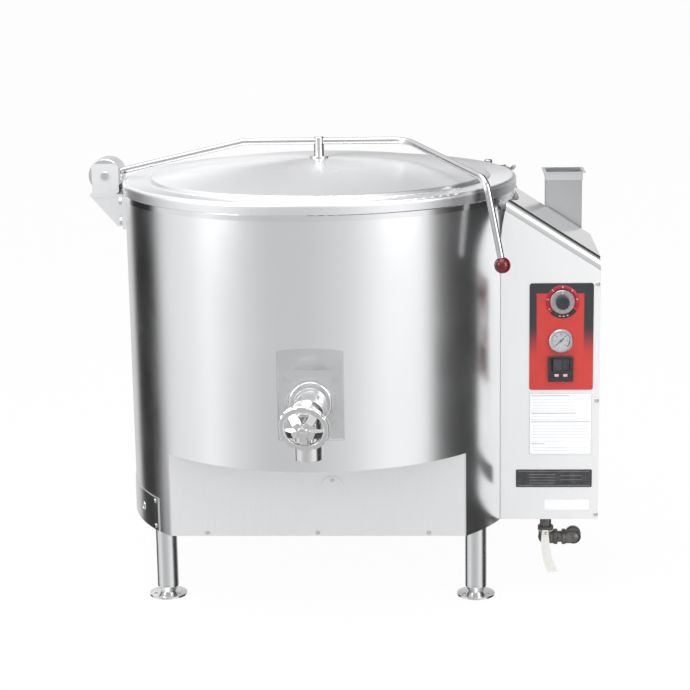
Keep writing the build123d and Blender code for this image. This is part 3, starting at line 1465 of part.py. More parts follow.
# Tag: a curved plastic strip hung from a wire ring round the upper elbow's neck.
tag_sheet = 0.8
tag_ring_wire = 1.0
tag_ring_radius = elbow_wall_radius + tag_ring_wire + seat
tag_ring_z = elbow_centre_z + elbow_reach - band_width - tag_ring_wire - seat
tag_loop_radius = 4.0
tag_front = gas_y - tag_ring_radius - tag_loop_radius - 0.5
tag_loop_z = tag_ring_z - 3.0
with BuildPart() as hang_tag:
    with BuildSketch(facing(gas_x, tag_front, tag_loop_z)):
        with BuildLine():
            left_edge = Spline((-9, 8), (-11, -10), (-7, -62), (5, -97))
            bottom = Line(left_edge @ 1, (30, -95))
            right_edge = Spline(bottom @ 1, (13, -52), (7, -10), (5, 8))
            Line(right_edge @ 1, left_edge @ 0)
        make_face()
        SlotOverall(9, 4, rotation=90, mode=Mode.SUBTRACT)
    extrude(amount=tag_sheet / 2, both=True)
    with Locations((gas_x, gas_y, tag_ring_z)):
        Torus(tag_ring_radius, tag_ring_wire)
    with Locations(Plane(origin=(gas_x, tag_front, tag_loop_z), z_dir=(1, 0, 0)).location):
        Torus(tag_loop_radius, tag_ring_wire)
export(hang_tag, "hang_tag")

# ---------------------------------------------------------------- flue
# Duct: square sheet tube from the firebox, out through the shell and up behind the control box.
flue_half = flue_width / 2
flue_inner_x = sqrt((firebox_radius - firebox_wall) ** 2 - (flue_y - flue_half) ** 2) - 20
with BuildPart() as flue_duct:
    with BuildSketch(Plane.YZ.offset(flue_inner_x)):
        with Locations((flue_y, flue_low + flue_half)):
            Rectangle(flue_width, flue_width)
    extrude(amount=flue_x + flue_half - flue_inner_x)
    with BuildSketch(Plane.XY.offset(flue_low)):
        with Locations((flue_x, flue_y)):
            Rectangle(flue_width, flue_width)
    extrude(amount=flue_high - flue_low)
    with BuildSketch(Plane.YZ.offset(flue_inner_x)):
        with Locations((flue_y, flue_low + flue_half)):
            Rectangle(flue_width - 2 * flue_wall, flue_width - 2 * flue_wall)
    extrude(amount=flue_x + flue_half - flue_wall - flue_inner_x, mode=Mode.SUBTRACT)
    with BuildSketch(Plane.XY.offset(flue_low + flue_wall)):
        with Locations((flue_x, flue_y)):
            Rectangle(flue_width - 2 * flue_wall, flue_width - 2 * flue_wall)
    extrude(amount=flue_high - flue_low, mode=Mode.SUBTRACT)
export(flue_duct, "flue_duct")

# Collar: flanged square frame over the duct's top, for the hood or stack.
collar_lap = 9.0
collar_flange = 8.0
collar_sheet = 1.5
collar_hole = 2.0
with BuildPart() as flue_collar:
    with BuildSketch(Plane.XY.offset(flue_high - collar_lap)):
        with Locations((flue_x, flue_y)):
            Rectangle(flue_width + 2 * (seat + collar_sheet), flue_width + 2 * (seat + collar_sheet))
            Rectangle(flue_width + 2 * seat, flue_width + 2 * seat, mode=Mode.SUBTRACT)
    extrude(amount=2 * collar_lap)
    with BuildSketch(Plane.XY.offset(flue_high + collar_lap)):
        with Locations((flue_x, flue_y)):
            Rectangle(flue_width + 2 * collar_flange, flue_width + 2 * collar_flange)
            Rectangle(flue_width + 2 * seat, flue_width + 2 * seat, mode=Mode.SUBTRACT)
            with GridLocations(flue_width + collar_flange, flue_width / 3, 2, 2):
                Circle(collar_hole, mode=Mode.SUBTRACT)
            with GridLocations(flue_width / 3, flue_width + collar_flange, 2, 2):
                Circle(collar_hole, mode=Mode.SUBTRACT)
    extrude(amount=collar_sheet)
export(flue_collar, "flue_collar")

# ---------------------------------------------------------------- safety valve and air vent
# Pipes: level from the top of the jacket out through the shell, then straight up.
safety_seat_z = fitting_pipe_z + 82.0
vent_seat_z = fitting_pipe_z + 125.0
sites = ((safety_azimuth, safety_seat_z), (vent_azimuth, vent_seat_z))


def site_point(azimuth, z):
    """A point on the riser's axis at one azimuth."""
    return Vector(fitting_circle * cos(radians(azimuth)), fitting_circle * sin(radians(azimuth)), z)


def pipe_pair(radius, cut):
    """Both pipes as solid rods of one radius, from the jacket to the seats of the fittings."""
    with BuildPart() as rods:
        add(fitting_rods(radius, fitting_inner_end - cut, fitting_circle))
        for azimuth, seat_z in sites:
            with BuildSketch(Plane(origin=site_point(azimuth, fitting_pipe_z))):
                Circle(radius)
            extrude(amount=seat_z + cut - fitting_pipe_z)
            with Locations(site_point(azimuth, fitting_pipe_z)):
                Sphere(radius)
    return rods.part


outer_pipes = pipe_pair(fitting_pipe, 0)
pipe_bores = pipe_pair(fitting_pipe - fitting_pipe_wall, 1)
with BuildPart() as steam_pipes:
    add(outer_pipes)
    for azimuth, seat_z in sites:
        with Locations(site_point(azimuth, fitting_pipe_z)):
            Sphere(fitting_pipe + 4)
        with BuildSketch(Plane(origin=site_point(azimuth, fitting_pipe_z + 12))):
            Circle(fitting_pipe + 5)
        extrude(amount=8)
    add(pipe_bores, mode=Mode.SUBTRACT)
export(steam_pipes, "steam_pipes")

# Safety valve: turned body with a side outlet, spring bonnet, and two ears that carry the lever's pin.
safety_centre = site_point(safety_azimuth, 0)
# The lever runs along the shell, the outlet points away from it.
safety_along = Vector(sin(radians(safety_azimuth)), -cos(radians(safety_azimuth)), 0)
safety_out = Vector(cos(radians(safety_azimuth)), sin(radians(safety_azimuth)), 0)
safety_side = Plane(origin=safety_centre, x_dir=safety_along, z_dir=safety_along.cross(Vector(0, 0, 1)))
safety_body_radius = 17.0
bonnet_top = safety_seat_z + 76.0
safety_hexagon = 14.0
safety_shoulder = 44.0      # height of the body above its seat
outlet_rise = 28.0
outlet_reach = 30.0
outlet_radius = 11.0
outlet_bore = 8.0
ear_gap = 9.0
ear_sheet = 3.0
lever_pin = 2.5
lever_pivot_along = -11.0
lever_pivot_z = bonnet_top + 10
outlet_foot = safety_centre + Vector(0, 0, safety_seat_z + outlet_rise)
outlet_plane = Plane(origin=outlet_foot, x_dir=safety_along, z_dir=safety_out)
with BuildPart() as safety_valve:
    with BuildSketch(Plane(origin=safety_centre + Vector(0, 0, safety_seat_z + seat))):
        RegularPolygon(safety_body_radius, 6, major_radius=False)
    extrude(amount=safety_hexagon)
    with BuildSketch(Plane(origin=safety_centre + Vector(0, 0, safety_seat_z + seat))):
        Circle(safety_body_radius - 1)
    extrude(amount=safety_shoulder)
    with BuildSketch(outlet_plane):
        Circle(outlet_radius)
    extrude(amount=outlet_reach)
    with BuildSketch(Plane(origin=safety_centre + Vector(0, 0, safety_seat_z + safety_shoulder))):
        Circle(safety_body_radius - 4)
    extrude(amount=bonnet_top - safety_seat_z - safety_shoulder)
    chamfer(safety_valve.edges().group_by(Axis.Z)[-1], 1)
    with BuildSketch(safety_side.offset(-ear_gap / 2 - ear_sheet)):
        with Locations((lever_pivot_along, bonnet_top - 8)):
            Rectangle(11, lever_pivot_z - bonnet_top + 8, align=(Align.CENTER, Align.MIN))
        with Locations((lever_pivot_along, lever_pivot_z)):
            Circle(5.5)
    extrude(amount=ear_gap + 2 * ear_sheet)
    with BuildSketch(safety_side.offset(-ear_gap / 2)):
        with Locations((lever_pivot_along, bonnet_top)):
            Rectangle(16, 30, align=(Align.CENTER, Align.MIN))
    extrude(amount=ear_gap, mode=Mode.SUBTRACT)
    with BuildSketch(safety_side.offset(-ear_gap / 2 - ear_sheet - 1.5)):
        with Locations((lever_pivot_along, lever_pivot_z)):
            Circle(lever_pin)
    extrude(amount=ear_gap + 2 * ear_sheet + 3)
    with BuildSketch(Plane(origin=safety_centre + Vector(0, 0, bonnet_top))):
        Circle(4)
    extrude(amount=lever_pivot_z - 3 - apart - bonnet_top)
    with BuildSketch(outlet_plane):
        Circle(outlet_bore)
    extrude(amount=outlet_reach, mode=Mode.SUBTRACT)
export(safety_valve, "safety_valve")

# Lever: flat bar on the pin, with a fork-shaped hub and a turned-up end.
with BuildPart() as safety_valve_lever:
    with BuildSketch(safety_side.offset(-ear_gap / 2 + apart)):
        with Locations((lever_pivot_along, lever_pivot_z)):
            Circle(5)
        with BuildLine():
            Polyline(
                (lever_pivot_along, lever_pivot_z - 3),
                (34, lever_pivot_z - 3),
                (46, lever_pivot_z + 6),
                (46, lever_pivot_z + 11),
                (30, lever_pivot_z + 2),
                (lever_pivot_along, lever_pivot_z + 4),
                close=True,
            )
        make_face()
        with Locations((lever_pivot_along, lever_pivot_z)):
            Circle(lever_pin + running, mode=Mode.SUBTRACT)
    extrude(amount=ear_gap - 2 * apart)
export(safety_valve_lever, "safety_valve_lever")

# Air vent: small turned body on its riser, with a hexagon base and a domed cap.
vent_hexagon = 12.0
vent_body_radius = 14.0
vent_body = 42.0            # height of the body above its seat
vent_cap_radius = 10.0
vent_cap = 14.0
with BuildPart() as vent_valve:
    with BuildSketch(Plane(origin=site_point(vent_azimuth, vent_seat_z + seat))):
        RegularPolygon(vent_body_radius + 1, 6, major_radius=False)
    extrude(amount=vent_hexagon)
    with BuildSketch(Plane(origin=site_point(vent_azimuth, vent_seat_z + seat))):
        Circle(vent_body_radius)
    extrude(amount=vent_body - seat)
    with BuildSketch(Plane(origin=site_point(vent_azimuth, vent_seat_z + vent_body))):
        Circle(vent_cap_radius)
    extrude(amount=vent_cap)
    fillet(vent_valve.edges().group_by(Axis.Z)[-1], 0.4 * vent_cap_radius)
export(vent_valve, "vent_valve")
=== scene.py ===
import math
import bmesh
import bpy
from mathutils import Matrix, Vector


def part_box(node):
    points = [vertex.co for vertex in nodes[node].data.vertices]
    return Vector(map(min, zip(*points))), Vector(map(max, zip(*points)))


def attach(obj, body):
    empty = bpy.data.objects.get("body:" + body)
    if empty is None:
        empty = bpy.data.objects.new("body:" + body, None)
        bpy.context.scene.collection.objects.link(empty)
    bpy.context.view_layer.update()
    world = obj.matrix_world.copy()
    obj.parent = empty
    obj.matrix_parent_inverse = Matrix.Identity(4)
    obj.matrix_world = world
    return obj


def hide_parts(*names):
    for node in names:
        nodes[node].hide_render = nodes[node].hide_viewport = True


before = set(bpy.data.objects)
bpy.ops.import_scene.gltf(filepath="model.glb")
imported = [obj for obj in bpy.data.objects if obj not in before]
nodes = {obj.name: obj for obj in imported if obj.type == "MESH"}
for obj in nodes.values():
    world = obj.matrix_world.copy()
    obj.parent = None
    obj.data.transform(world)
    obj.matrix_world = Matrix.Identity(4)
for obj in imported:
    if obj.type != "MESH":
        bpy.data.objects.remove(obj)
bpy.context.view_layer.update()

# ---- Studio ----
# A plain pale floor, a pale room with grey side walls for the steel to reflect,
# two tall soft boxes in front at the left and the right, and one overhead.
floor_mesh = bmesh.new()
bmesh.ops.create_grid(floor_mesh, x_segments=1, y_segments=1, size=60)
floor_data = bpy.data.meshes.new("floor")
floor_mesh.to_mesh(floor_data)
floor_mesh.free()
floor = bpy.data.objects.new("floor", floor_data)
bpy.context.scene.collection.objects.link(floor)
floor.visible_glossy = False

floor_paint = bpy.data.materials.new("pale floor")
floor_paint.use_nodes = True
tree = floor_paint.node_tree
paint = tree.nodes["Principled BSDF"]
paint.inputs["Base Color"].default_value = (0.86, 0.86, 0.86, 1)
paint.inputs["Roughness"].default_value = 0.9
paint.inputs["Specular IOR Level"].default_value = 0.2
glow = tree.nodes.new("ShaderNodeEmission")
glow.inputs["Color"].default_value = (1, 1, 1, 1)
path = tree.nodes.new("ShaderNodeLightPath")
seen = tree.nodes.new("ShaderNodeMath")
seen.operation = "ADD"
seen_through = tree.nodes.new("ShaderNodeMath")
seen_through.operation = "ADD"
seen_through.use_clamp = True
share = tree.nodes.new("ShaderNodeMath")
share.operation = "MULTIPLY"
share.inputs[1].default_value = 0.96
blend = tree.nodes.new("ShaderNodeMixShader")
tree.links.new(path.outputs["Is Camera Ray"], seen.inputs[0])
tree.links.new(path.outputs["Is Glossy Ray"], seen.inputs[1])
tree.links.new(seen.outputs[0], seen_through.inputs[0])
tree.links.new(path.outputs["Is Transmission Ray"], seen_through.inputs[1])
tree.links.new(seen_through.outputs[0], share.inputs[0])
tree.links.new(share.outputs[0], blend.inputs["Fac"])
tree.links.new(paint.outputs[0], blend.inputs[1])
tree.links.new(glow.outputs[0], blend.inputs[2])
tree.links.new(blend.outputs[0], tree.nodes["Material Output"].inputs["Surface"])
floor_data.materials.append(floor_paint)

room = bpy.data.worlds.new("studio")
bpy.context.scene.world = room
room.use_nodes = True
tree = room.node_tree
direction = tree.nodes.new("ShaderNodeTexCoord")
parts_of = tree.nodes.new("ShaderNodeSeparateXYZ")
around = tree.nodes.new("ShaderNodeMath")
around.operation = "ARCTAN2"
turn = tree.nodes.new("ShaderNodeMapRange")
turn.inputs["From Min"].default_value = -math.pi
turn.inputs["From Max"].default_value = math.pi
walls = tree.nodes.new("ShaderNodeValToRGB")
# Compass bearings in degrees from the camera's side, positive to the right, and the wall's grey there.
wall_greys = (
    (-180, 0.78), (-146, 0.72), (-139, 0.03), (-112, 0.02), (-104, 0.70), (-96, 0.84), (-75, 0.88), (-71, 1.0),
    (-63, 1.0), (-58, 0.86), (-46, 0.72), (-28, 0.60), (-4, 0.62), (20, 0.74), (31, 0.90), (40, 1.0), (66, 1.0),
    (74, 0.20), (84, 0.06), (127, 0.03), (136, 0.40), (150, 0.70), (180, 0.78),
)
roof = tree.nodes.new("ShaderNodeValToRGB")
# The same bearings again for the ceiling, which is bright on the left and dim behind on the right.
roof_greys = (
    (-180, 0.66), (-172, 0.95), (-165, 1.0), (-60, 1.0), (0, 0.88), (60, 0.95), (84, 0.50), (100, 0.30), (118, 0.06),
    (156, 0.05), (166, 0.35), (176, 0.45), (180, 0.66),
)
for ramp, greys in ((walls, wall_greys), (roof, roof_greys)):
    steps = ramp.color_ramp.elements
    while len(steps) > 1:
        steps.remove(steps[0])
    for number, (bearing, grey) in enumerate(greys):
        step = steps.new((bearing + 180) / 360) if number else steps[0]
        step.position = (bearing + 180) / 360
        step.color = (grey, grey, grey * 1.005, 1)
ceiling = tree.nodes.new("ShaderNodeMapRange")
ceiling.interpolation_type = "SMOOTHSTEP"
ceiling.inputs["From Min"].default_value = 0.18
ceiling.inputs["From Max"].default_value = 0.42
mixed = tree.nodes.new("ShaderNodeMix")
mixed.data_type = "RGBA"
forward = tree.nodes.new("ShaderNodeMath")
forward.operation = "MULTIPLY"
forward.inputs[1].default_value = -1
tree.links.new(direction.outputs["Generated"], parts_of.inputs[0])
tree.links.new(parts_of.outputs["X"], around.inputs[0])
tree.links.new(parts_of.outputs["Y"], forward.inputs[0])
tree.links.new(forward.outputs[0], around.inputs[1])
tree.links.new(around.outputs[0], turn.inputs["Value"])
tree.links.new(turn.outputs[0], walls.inputs[0])
tree.links.new(parts_of.outputs["Z"], ceiling.inputs["Value"])
tree.links.new(ceiling.outputs[0], mixed.inputs["Factor"])
tree.links.new(walls.outputs[0], mixed.inputs["A"])
tree.links.new(turn.outputs[0], roof.inputs[0])
tree.links.new(roof.outputs[0], mixed.inputs["B"])
tree.links.new(mixed.outputs["Result"], tree.nodes["Background"].inputs["Color"])
tree.nodes["Background"].inputs["Strength"].default_value = 1.0

kettle_middle = Vector((0, 0, 0.6))
# Each soft box: name, bearing, distance, height, width, tall side, power in watts.
soft_boxes = (
    ("soft box left", -52, 3.4, 1.9, 1.1, 2.4, 38),
    ("soft box right", 48, 3.4, 1.9, 1.3, 2.4, 38),
    ("soft box above", -20, 0.6, 3.4, 2.6, 2.6, 50),
)
for name, bearing, distance, height, wide, tall, power in soft_boxes:
    lamp = bpy.data.lights.new(name, "AREA")
    lamp.shape = "RECTANGLE"
    lamp.size, lamp.size_y = wide, tall
    lamp.energy = power
    box = bpy.data.objects.new(name, lamp)
    bpy.context.scene.collection.objects.link(box)
    box.location = (distance * math.sin(math.radians(bearing)), -distance * math.cos(math.radians(bearing)), height)
    box.rotation_euler = (kettle_middle - box.location).to_track_quat("-Z", "Y").to_euler()

# ---- Camera ----
# A long lens in front, a little to the right, looking down at the kettle.
# Its focal length is given in pixels of a square frame.
focal_pixels, frame_pixels = 1935.0632, 690
camera_place = (0.2894, -4.5301, 1.5605)
eye = bpy.data.cameras.new("camera")
eye.sensor_width = 36
eye.lens = focal_pixels / frame_pixels * eye.sensor_width
camera = bpy.data.objects.new("camera", eye)
bpy.context.scene.collection.objects.link(camera)
yaw, pitch, roll = 0.052, 0.2184, -0.0162
aimed = Matrix.Rotation(yaw, 4, "Z") @ Matrix.Rotation(math.pi / 2 - pitch, 4, "X") @ Matrix.Rotation(roll, 4, "Z")
camera.matrix_world = Matrix.Translation(camera_place) @ aimed
bpy.context.scene.camera = camera
bpy.context.scene.view_settings.view_transform = "Standard"

# ---- Outer shell, rim and insulation ----
# The drum is one rolled stainless sheet with a seam behind, its abrasive lines running round it.
# The rim is spun from plate and polished; the blanket between shell and jacket is glass wool.
grain = bpy.data.node_groups.new("abrasive lines", "ShaderNodeTree")
grain.interface.new_socket(name="Along Lines", in_out="INPUT", socket_type="NodeSocketVector")
grain.interface.new_socket(name="Place", in_out="INPUT", socket_type="NodeSocketVector")
grain.interface.new_socket(name="Lines", in_out="OUTPUT", socket_type="NodeSocketFloat")
grain.interface.new_socket(name="Smudges", in_out="OUTPUT", socket_type="NodeSocketFloat")
grain.interface.new_socket(name="Height", in_out="OUTPUT", socket_type="NodeSocketFloat")
inside = grain.nodes
entry = inside.new("NodeGroupInput")
leave = inside.new("NodeGroupOutput")
fine = inside.new("ShaderNodeTexNoise")
fine.inputs["Scale"].default_value = 1.0
fine.inputs["Detail"].default_value = 3.0
fine.inputs["Roughness"].default_value = 0.65
smudge = inside.new("ShaderNodeTexNoise")
smudge.inputs["Scale"].default_value = 6.0
smudge.inputs["Detail"].default_value = 4.0
smudge.inputs["Roughness"].default_value = 0.6
dents = inside.new("ShaderNodeTexNoise")
dents.inputs["Scale"].default_value = 3.5
dents.inputs["Detail"].default_value = 1.0
height = inside.new("ShaderNodeMath")
height.operation = "MULTIPLY_ADD"
height.inputs[1].default_value = 0.06
grain.links.new(entry.outputs["Along Lines"], fine.inputs["Vector"])
grain.links.new(entry.outputs["Place"], smudge.inputs["Vector"])
grain.links.new(entry.outputs["Place"], dents.inputs["Vector"])
grain.links.new(fine.outputs["Fac"], height.inputs[0])
grain.links.new(dents.outputs["Fac"], height.inputs[2])
grain.links.new(fine.outputs["Fac"], leave.inputs["Lines"])
grain.links.new(smudge.outputs["Fac"], leave.inputs["Smudges"])
grain.links.new(height.outputs[0], leave.inputs["Height"])


def metal(name, colour, gloss, stretch, depth=0.3, uneven=0.08, round_axis=False, shade=0.06,
          metallic=1.0, turned=0.0, worn=0.0):
    """A metal with abrasive lines: stretch is how close the lines lie along X, Y and Z, per metre."""
    made = bpy.data.materials.new(name)
    made.use_nodes = True
    tree = made.node_tree
    shader = tree.nodes["Principled BSDF"]
    shader.inputs["Metallic"].default_value = metallic
    shader.inputs["Anisotropic"].default_value = turned
    place = tree.nodes.new("ShaderNodeTexCoord")
    source = place.outputs["Object"]
    if round_axis:
        split = tree.nodes.new("ShaderNodeSeparateXYZ")
        bearing = tree.nodes.new("ShaderNodeMath")
        bearing.operation = "ARCTAN2"
        flat = tree.nodes.new("ShaderNodeCombineXYZ")
        reach = tree.nodes.new("ShaderNodeVectorMath")
        reach.operation = "LENGTH"
        together = tree.nodes.new("ShaderNodeCombineXYZ")
        tree.links.new(source, split.inputs[0])
        tree.links.new(split.outputs["Y"], bearing.inputs[0])
        tree.links.new(split.outputs["X"], bearing.inputs[1])
        tree.links.new(split.outputs["X"], flat.inputs["X"])
        tree.links.new(split.outputs["Y"], flat.inputs["Y"])
        tree.links.new(flat.outputs[0], reach.inputs[0])
        tree.links.new(bearing.outputs[0], together.inputs["X"])
        tree.links.new(reach.outputs["Value"], together.inputs["Y"])
        tree.links.new(split.outputs["Z"], together.inputs["Z"])
        source = together.outputs[0]
    lay = tree.nodes.new("ShaderNodeMapping")
    lay.inputs["Scale"].default_value = stretch
    marks = tree.nodes.new("ShaderNodeGroup")
    marks.node_tree = grain
    both = tree.nodes.new("ShaderNodeMath")
    both.operation = "MULTIPLY_ADD"
    both.inputs[1].default_value = 0.4
    rough = tree.nodes.new("ShaderNodeMapRange")
    rough.inputs["From Min"].default_value = 0.35
    rough.inputs["From Max"].default_value = 1.05
    rough.inputs["To Min"].default_value = max(0.03, gloss - uneven)
    rough.inputs["To Max"].default_value = gloss + uneven
    tint = tree.nodes.new("ShaderNodeMix")
    tint.data_type = "RGBA"
    tint.inputs["A"].default_value = (*[c * (1 - shade) for c in colour], 1)
    tint.inputs["B"].default_value = (*[min(1, c * (1 + shade)) for c in colour], 1)
    bump = tree.nodes.new("ShaderNodeBump")
    bump.inputs["Strength"].default_value = depth
    bump.inputs["Distance"].default_value = 0.0006
    tree.links.new(source, lay.inputs["Vector"])
    tree.links.new(lay.outputs[0], marks.inputs["Along Lines"])
    tree.links.new(place.outputs["Object"], marks.inputs["Place"])
    tree.links.new(marks.outputs["Lines"], both.inputs[0])
    tree.links.new(marks.outputs["Smudges"], both.inputs[2])
    tree.links.new(both.outputs[0], rough.inputs["Value"])
    tree.links.new(rough.outputs[0], shader.inputs["Roughness"])
    tree.links.new(marks.outputs["Lines"], tint.inputs["Factor"])
    tree.links.new(tint.outputs["Result"], shader.inputs["Base Color"])
    tree.links.new(marks.outputs["Height"], bump.inputs["Height"])
    tree.links.new(bump.outputs[0], shader.inputs["Normal"])
    if worn:
        rounded = tree.nodes.new("ShaderNodeBevel")
        rounded.samples = 6
        rounded.inputs["Radius"].default_value = worn
        tree.links.new(rounded.outputs[0], bump.inputs["Normal"])
    return made


def finish_with(material, *names):
    """Gives CAD nodes one material over their whole surface."""
    for name in names:
        mesh = nodes[name].data
        mesh.materials.clear()
        mesh.materials.append(material)


drum_steel = metal("drum steel, brushed round", (0.88, 0.885, 0.895), 0.22, (1.5, 1500, 1800), 0.25, 0.05, True, 0.03)
rim_steel = metal("rim steel, polished", (0.84, 0.845, 0.85), 0.14, (1.5, 1200, 1200), 0.15, 0.04, True, 0.03)
finish_with(drum_steel, "outer_shell")
finish_with(rim_steel, "kettle_rim")

mottle = bpy.data.node_groups.new("fine mottle", "ShaderNodeTree")
mottle.interface.new_socket(name="Place", in_out="INPUT", socket_type="NodeSocketVector")
mottle.interface.new_socket(name="Scale", in_out="INPUT", socket_type="NodeSocketFloat")
mottle.interface.new_socket(name="Patches", in_out="OUTPUT", socket_type="NodeSocketFloat")
mottle.interface.new_socket(name="Pebble", in_out="OUTPUT", socket_type="NodeSocketFloat")
inside = mottle.nodes
entry = inside.new("NodeGroupInput")
leave = inside.new("NodeGroupOutput")
patches = inside.new("ShaderNodeTexNoise")
patches.inputs["Detail"].default_value = 3.0
finer = inside.new("ShaderNodeMath")
finer.operation = "MULTIPLY"
finer.inputs[1].default_value = 11.0
pebble = inside.new("ShaderNodeTexNoise")
pebble.inputs["Detail"].default_value = 2.0
mottle.links.new(entry.outputs["Place"], patches.inputs["Vector"])
mottle.links.new(entry.outputs["Scale"], patches.inputs["Scale"])
mottle.links.new(entry.outputs["Scale"], finer.inputs[0])
mottle.links.new(entry.outputs["Place"], pebble.inputs["Vector"])
mottle.links.new(finer.outputs[0], pebble.inputs["Scale"])
mottle.links.new(patches.outputs["Fac"], leave.inputs["Patches"])
mottle.links.new(pebble.outputs["Fac"], leave.inputs["Pebble"])


def mottled(name, light, dark, gloss, scale, depth, coat=0.0, metallic=0.0, uneven=0.08):
    """Plastic, paint, paper or cast iron: two close colours in soft patches, with a pebbled surface."""
    made = bpy.data.materials.new(name)
    made.use_nodes = True
    tree = made.node_tree
    shader = tree.nodes["Principled BSDF"]
    shader.inputs["Metallic"].default_value = metallic
    shader.inputs["Coat Weight"].default_value = coat
    shader.inputs["Coat Roughness"].default_value = 0.05
    place = tree.nodes.new("ShaderNodeTexCoord")
    spots = tree.nodes.new("ShaderNodeGroup")
    spots.node_tree = mottle
    spots.inputs["Scale"].default_value = scale
    tint = tree.nodes.new("ShaderNodeMix")
    tint.data_type = "RGBA"
    tint.inputs["A"].default_value = (*dark, 1)
    tint.inputs["B"].default_value = (*light, 1)
    edge = tree.nodes.new("ShaderNodeMapRange")
    edge.inputs["From Min"].default_value = 0.35
    edge.inputs["From Max"].default_value = 0.65
    rough = tree.nodes.new("ShaderNodeMapRange")
    rough.inputs["To Min"].default_value = max(0.03, gloss - uneven)
    rough.inputs["To Max"].default_value = gloss + uneven
    bump = tree.nodes.new("ShaderNodeBump")
    bump.inputs["Strength"].default_value = depth
    bump.inputs["Distance"].default_value = 0.0004
    tree.links.new(place.outputs["Object"], spots.inputs["Place"])
    tree.links.new(spots.outputs["Patches"], edge.inputs["Value"])
    tree.links.new(edge.outputs[0], tint.inputs["Factor"])
    tree.links.new(tint.outputs["Result"], shader.inputs["Base Color"])
    tree.links.new(spots.outputs["Pebble"], rough.inputs["Value"])
    tree.links.new(rough.outputs[0], shader.inputs["Roughness"])
    tree.links.new(spots.outputs["Pebble"], bump.inputs["Height"])
    tree.links.new(bump.outputs[0], shader.inputs["Normal"])
    return made


glass_wool = mottled("glass wool", (0.72, 0.60, 0.28), (0.52, 0.42, 0.18), 0.9, 60, 1.0)
finish_with(glass_wool, "insulation")

# ---- Kettle bowl and steam jacket ----
# The bowl is spun from one stainless sheet and polished inside; the jacket is a larger half sphere
# pressed from mill plate and welded to it, and is hidden behind the shell.
bowl_steel = metal("bowl steel, polished in rings", (0.80, 0.805, 0.81), 0.20, (1.2, 900, 900), 0.15, 0.05, True, 0.04)
mill_steel = metal("mill plate", (0.46, 0.46, 0.46), 0.45, (60, 60, 900), 0.4, 0.08)
finish_with(bowl_steel, "inner_kettle")
finish_with(mill_steel, "steam_jacket", "combustion_chamber")

# ---- Lid ----
# A shallow dome spun from 2 mm stainless sheet, with a step round its edge and a turned-down return.
# It is polished in rings about its middle, and hangs on the arm by the post.
lid_steel = metal("lid steel, polished in rings", (0.88, 0.885, 0.895), 0.30, (1.5, 1400, 300), 0.30, 0.05,
                  True, 0.035, turned=0.75)
finish_with(lid_steel, "lid")

# ---- Lid post and arm ----
# A turned post stands on the lid's middle; a 16 mm stainless bar, bent cold, runs from the side hinge
# over the post and down in front on the right as the handle. Both are belt polished.
bar_steel = metal("bar steel, belt polished", (0.62, 0.62, 0.63), 0.20, (260, 700, 700), 0.3, 0.05)
turned_steel = metal("turned steel", (0.78, 0.78, 0.785), 0.20, (500, 500, 1600), 0.3, 0.06)
finish_with(bar_steel, "lid_arm")
finish_with(turned_steel, "lid_post")


# ---- Ball knob ----
# Red phenolic ball, moulded in halves with a fine parting line left round its middle.
# It has a flat with a threaded socket and is screwed on the end of the arm.
phenolic = mottled("red phenolic", (0.150, 0.003, 0.006), (0.105, 0.002, 0.004), 0.14, 30, 0.05, coat=0.15,
                   uneven=0.04)


def add_piece(name, shape, material, body, stands_for=None, smooth=True):
    """Makes an object of a finished bmesh, gives it its material and lets it ride on its body."""
    data = bpy.data.meshes.new(name)
    shape.to_mesh(data)
    shape.free()
    for face in data.polygons:
        face.use_smooth = smooth
    data.materials.append(material)
    piece = bpy.data.objects.new(name, data)
    bpy.context.scene.collection.objects.link(piece)
    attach(piece, body)
    if stands_for:
        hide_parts(stands_for)
    return piece


def spun(profile, steps=64):
    """A bmesh of a closed ring or solid, spun about local Z from points (radius, height)."""
    shape = bmesh.new()
    corners = [shape.verts.new((radius, 0, level)) for radius, level in profile]
    edges = [shape.edges.new(pair) for pair in zip(corners, corners[1:])]
    bmesh.ops.spin(shape, geom=corners + edges, cent=(0, 0, 0), axis=(0, 0, 1), angle=2 * math.pi,
                   steps=steps, use_merge=True)
    bmesh.ops.remove_doubles(shape, verts=shape.verts, dist=1e-6)
    bmesh.ops.recalc_face_normals(shape, faces=shape.faces)
    return shape


arm_bend, arm_end = Vector((0.384, -0.292, 0.990)), Vector((0.419, -0.312, 0.810))
arm_way = (arm_bend - arm_end).normalized()
ball_radius = 0.01845
ball_middle = 0.0185            # above the knob's lowest point
line_step, parting_step = 8.2, 11   # degrees between the outline's points, and the one on the parting line
parting_depth = 0.00035
socket_line = [(0.0098, 0.0158), (0.0092, 0.0166), (0.0081, 0.0168)]
knob_low, knob_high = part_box("lid_knob")
knob_centre = Vector(((knob_low.x + knob_high.x) / 2, (knob_low.y + knob_high.y) / 2, knob_low.z + ball_middle))
ball_line = [(0.0, -ball_radius)]
for step in range(1, 20):
    rise = math.radians(-90 + step * line_step)
    reach = ball_radius - (parting_depth if step == parting_step else 0)
    ball_line.append((reach * math.cos(rise), reach * math.sin(rise)))
ball = spun(ball_line + socket_line, 72)
ball.transform(Matrix.Translation(knob_centre) @ arm_way.to_track_quat("Z", "Y").to_matrix().to_4x4())
add_piece("ball_knob", ball, phenolic, "lid", "lid_knob").visible_glossy = False

# ---- Side hinge ----
# A drum with the arm welded in it turns on a pin between two 3 mm plates, with a coil spring inside;
# the plates stand on a folded bracket, bolted to the shell. All satin stainless.
hinge_steel = metal("hinge steel, satin", (0.84, 0.845, 0.85), 0.32, (500, 500, 40), 0.4, 0.06, metallic=0.65)
finish_with(hinge_steel, "hinge_housing", "hinge_bracket")
finish_with(turned_steel, "hinge_drum", "hinge_pin", "panel_screws")
finish_with(bar_steel, "hinge_spring")

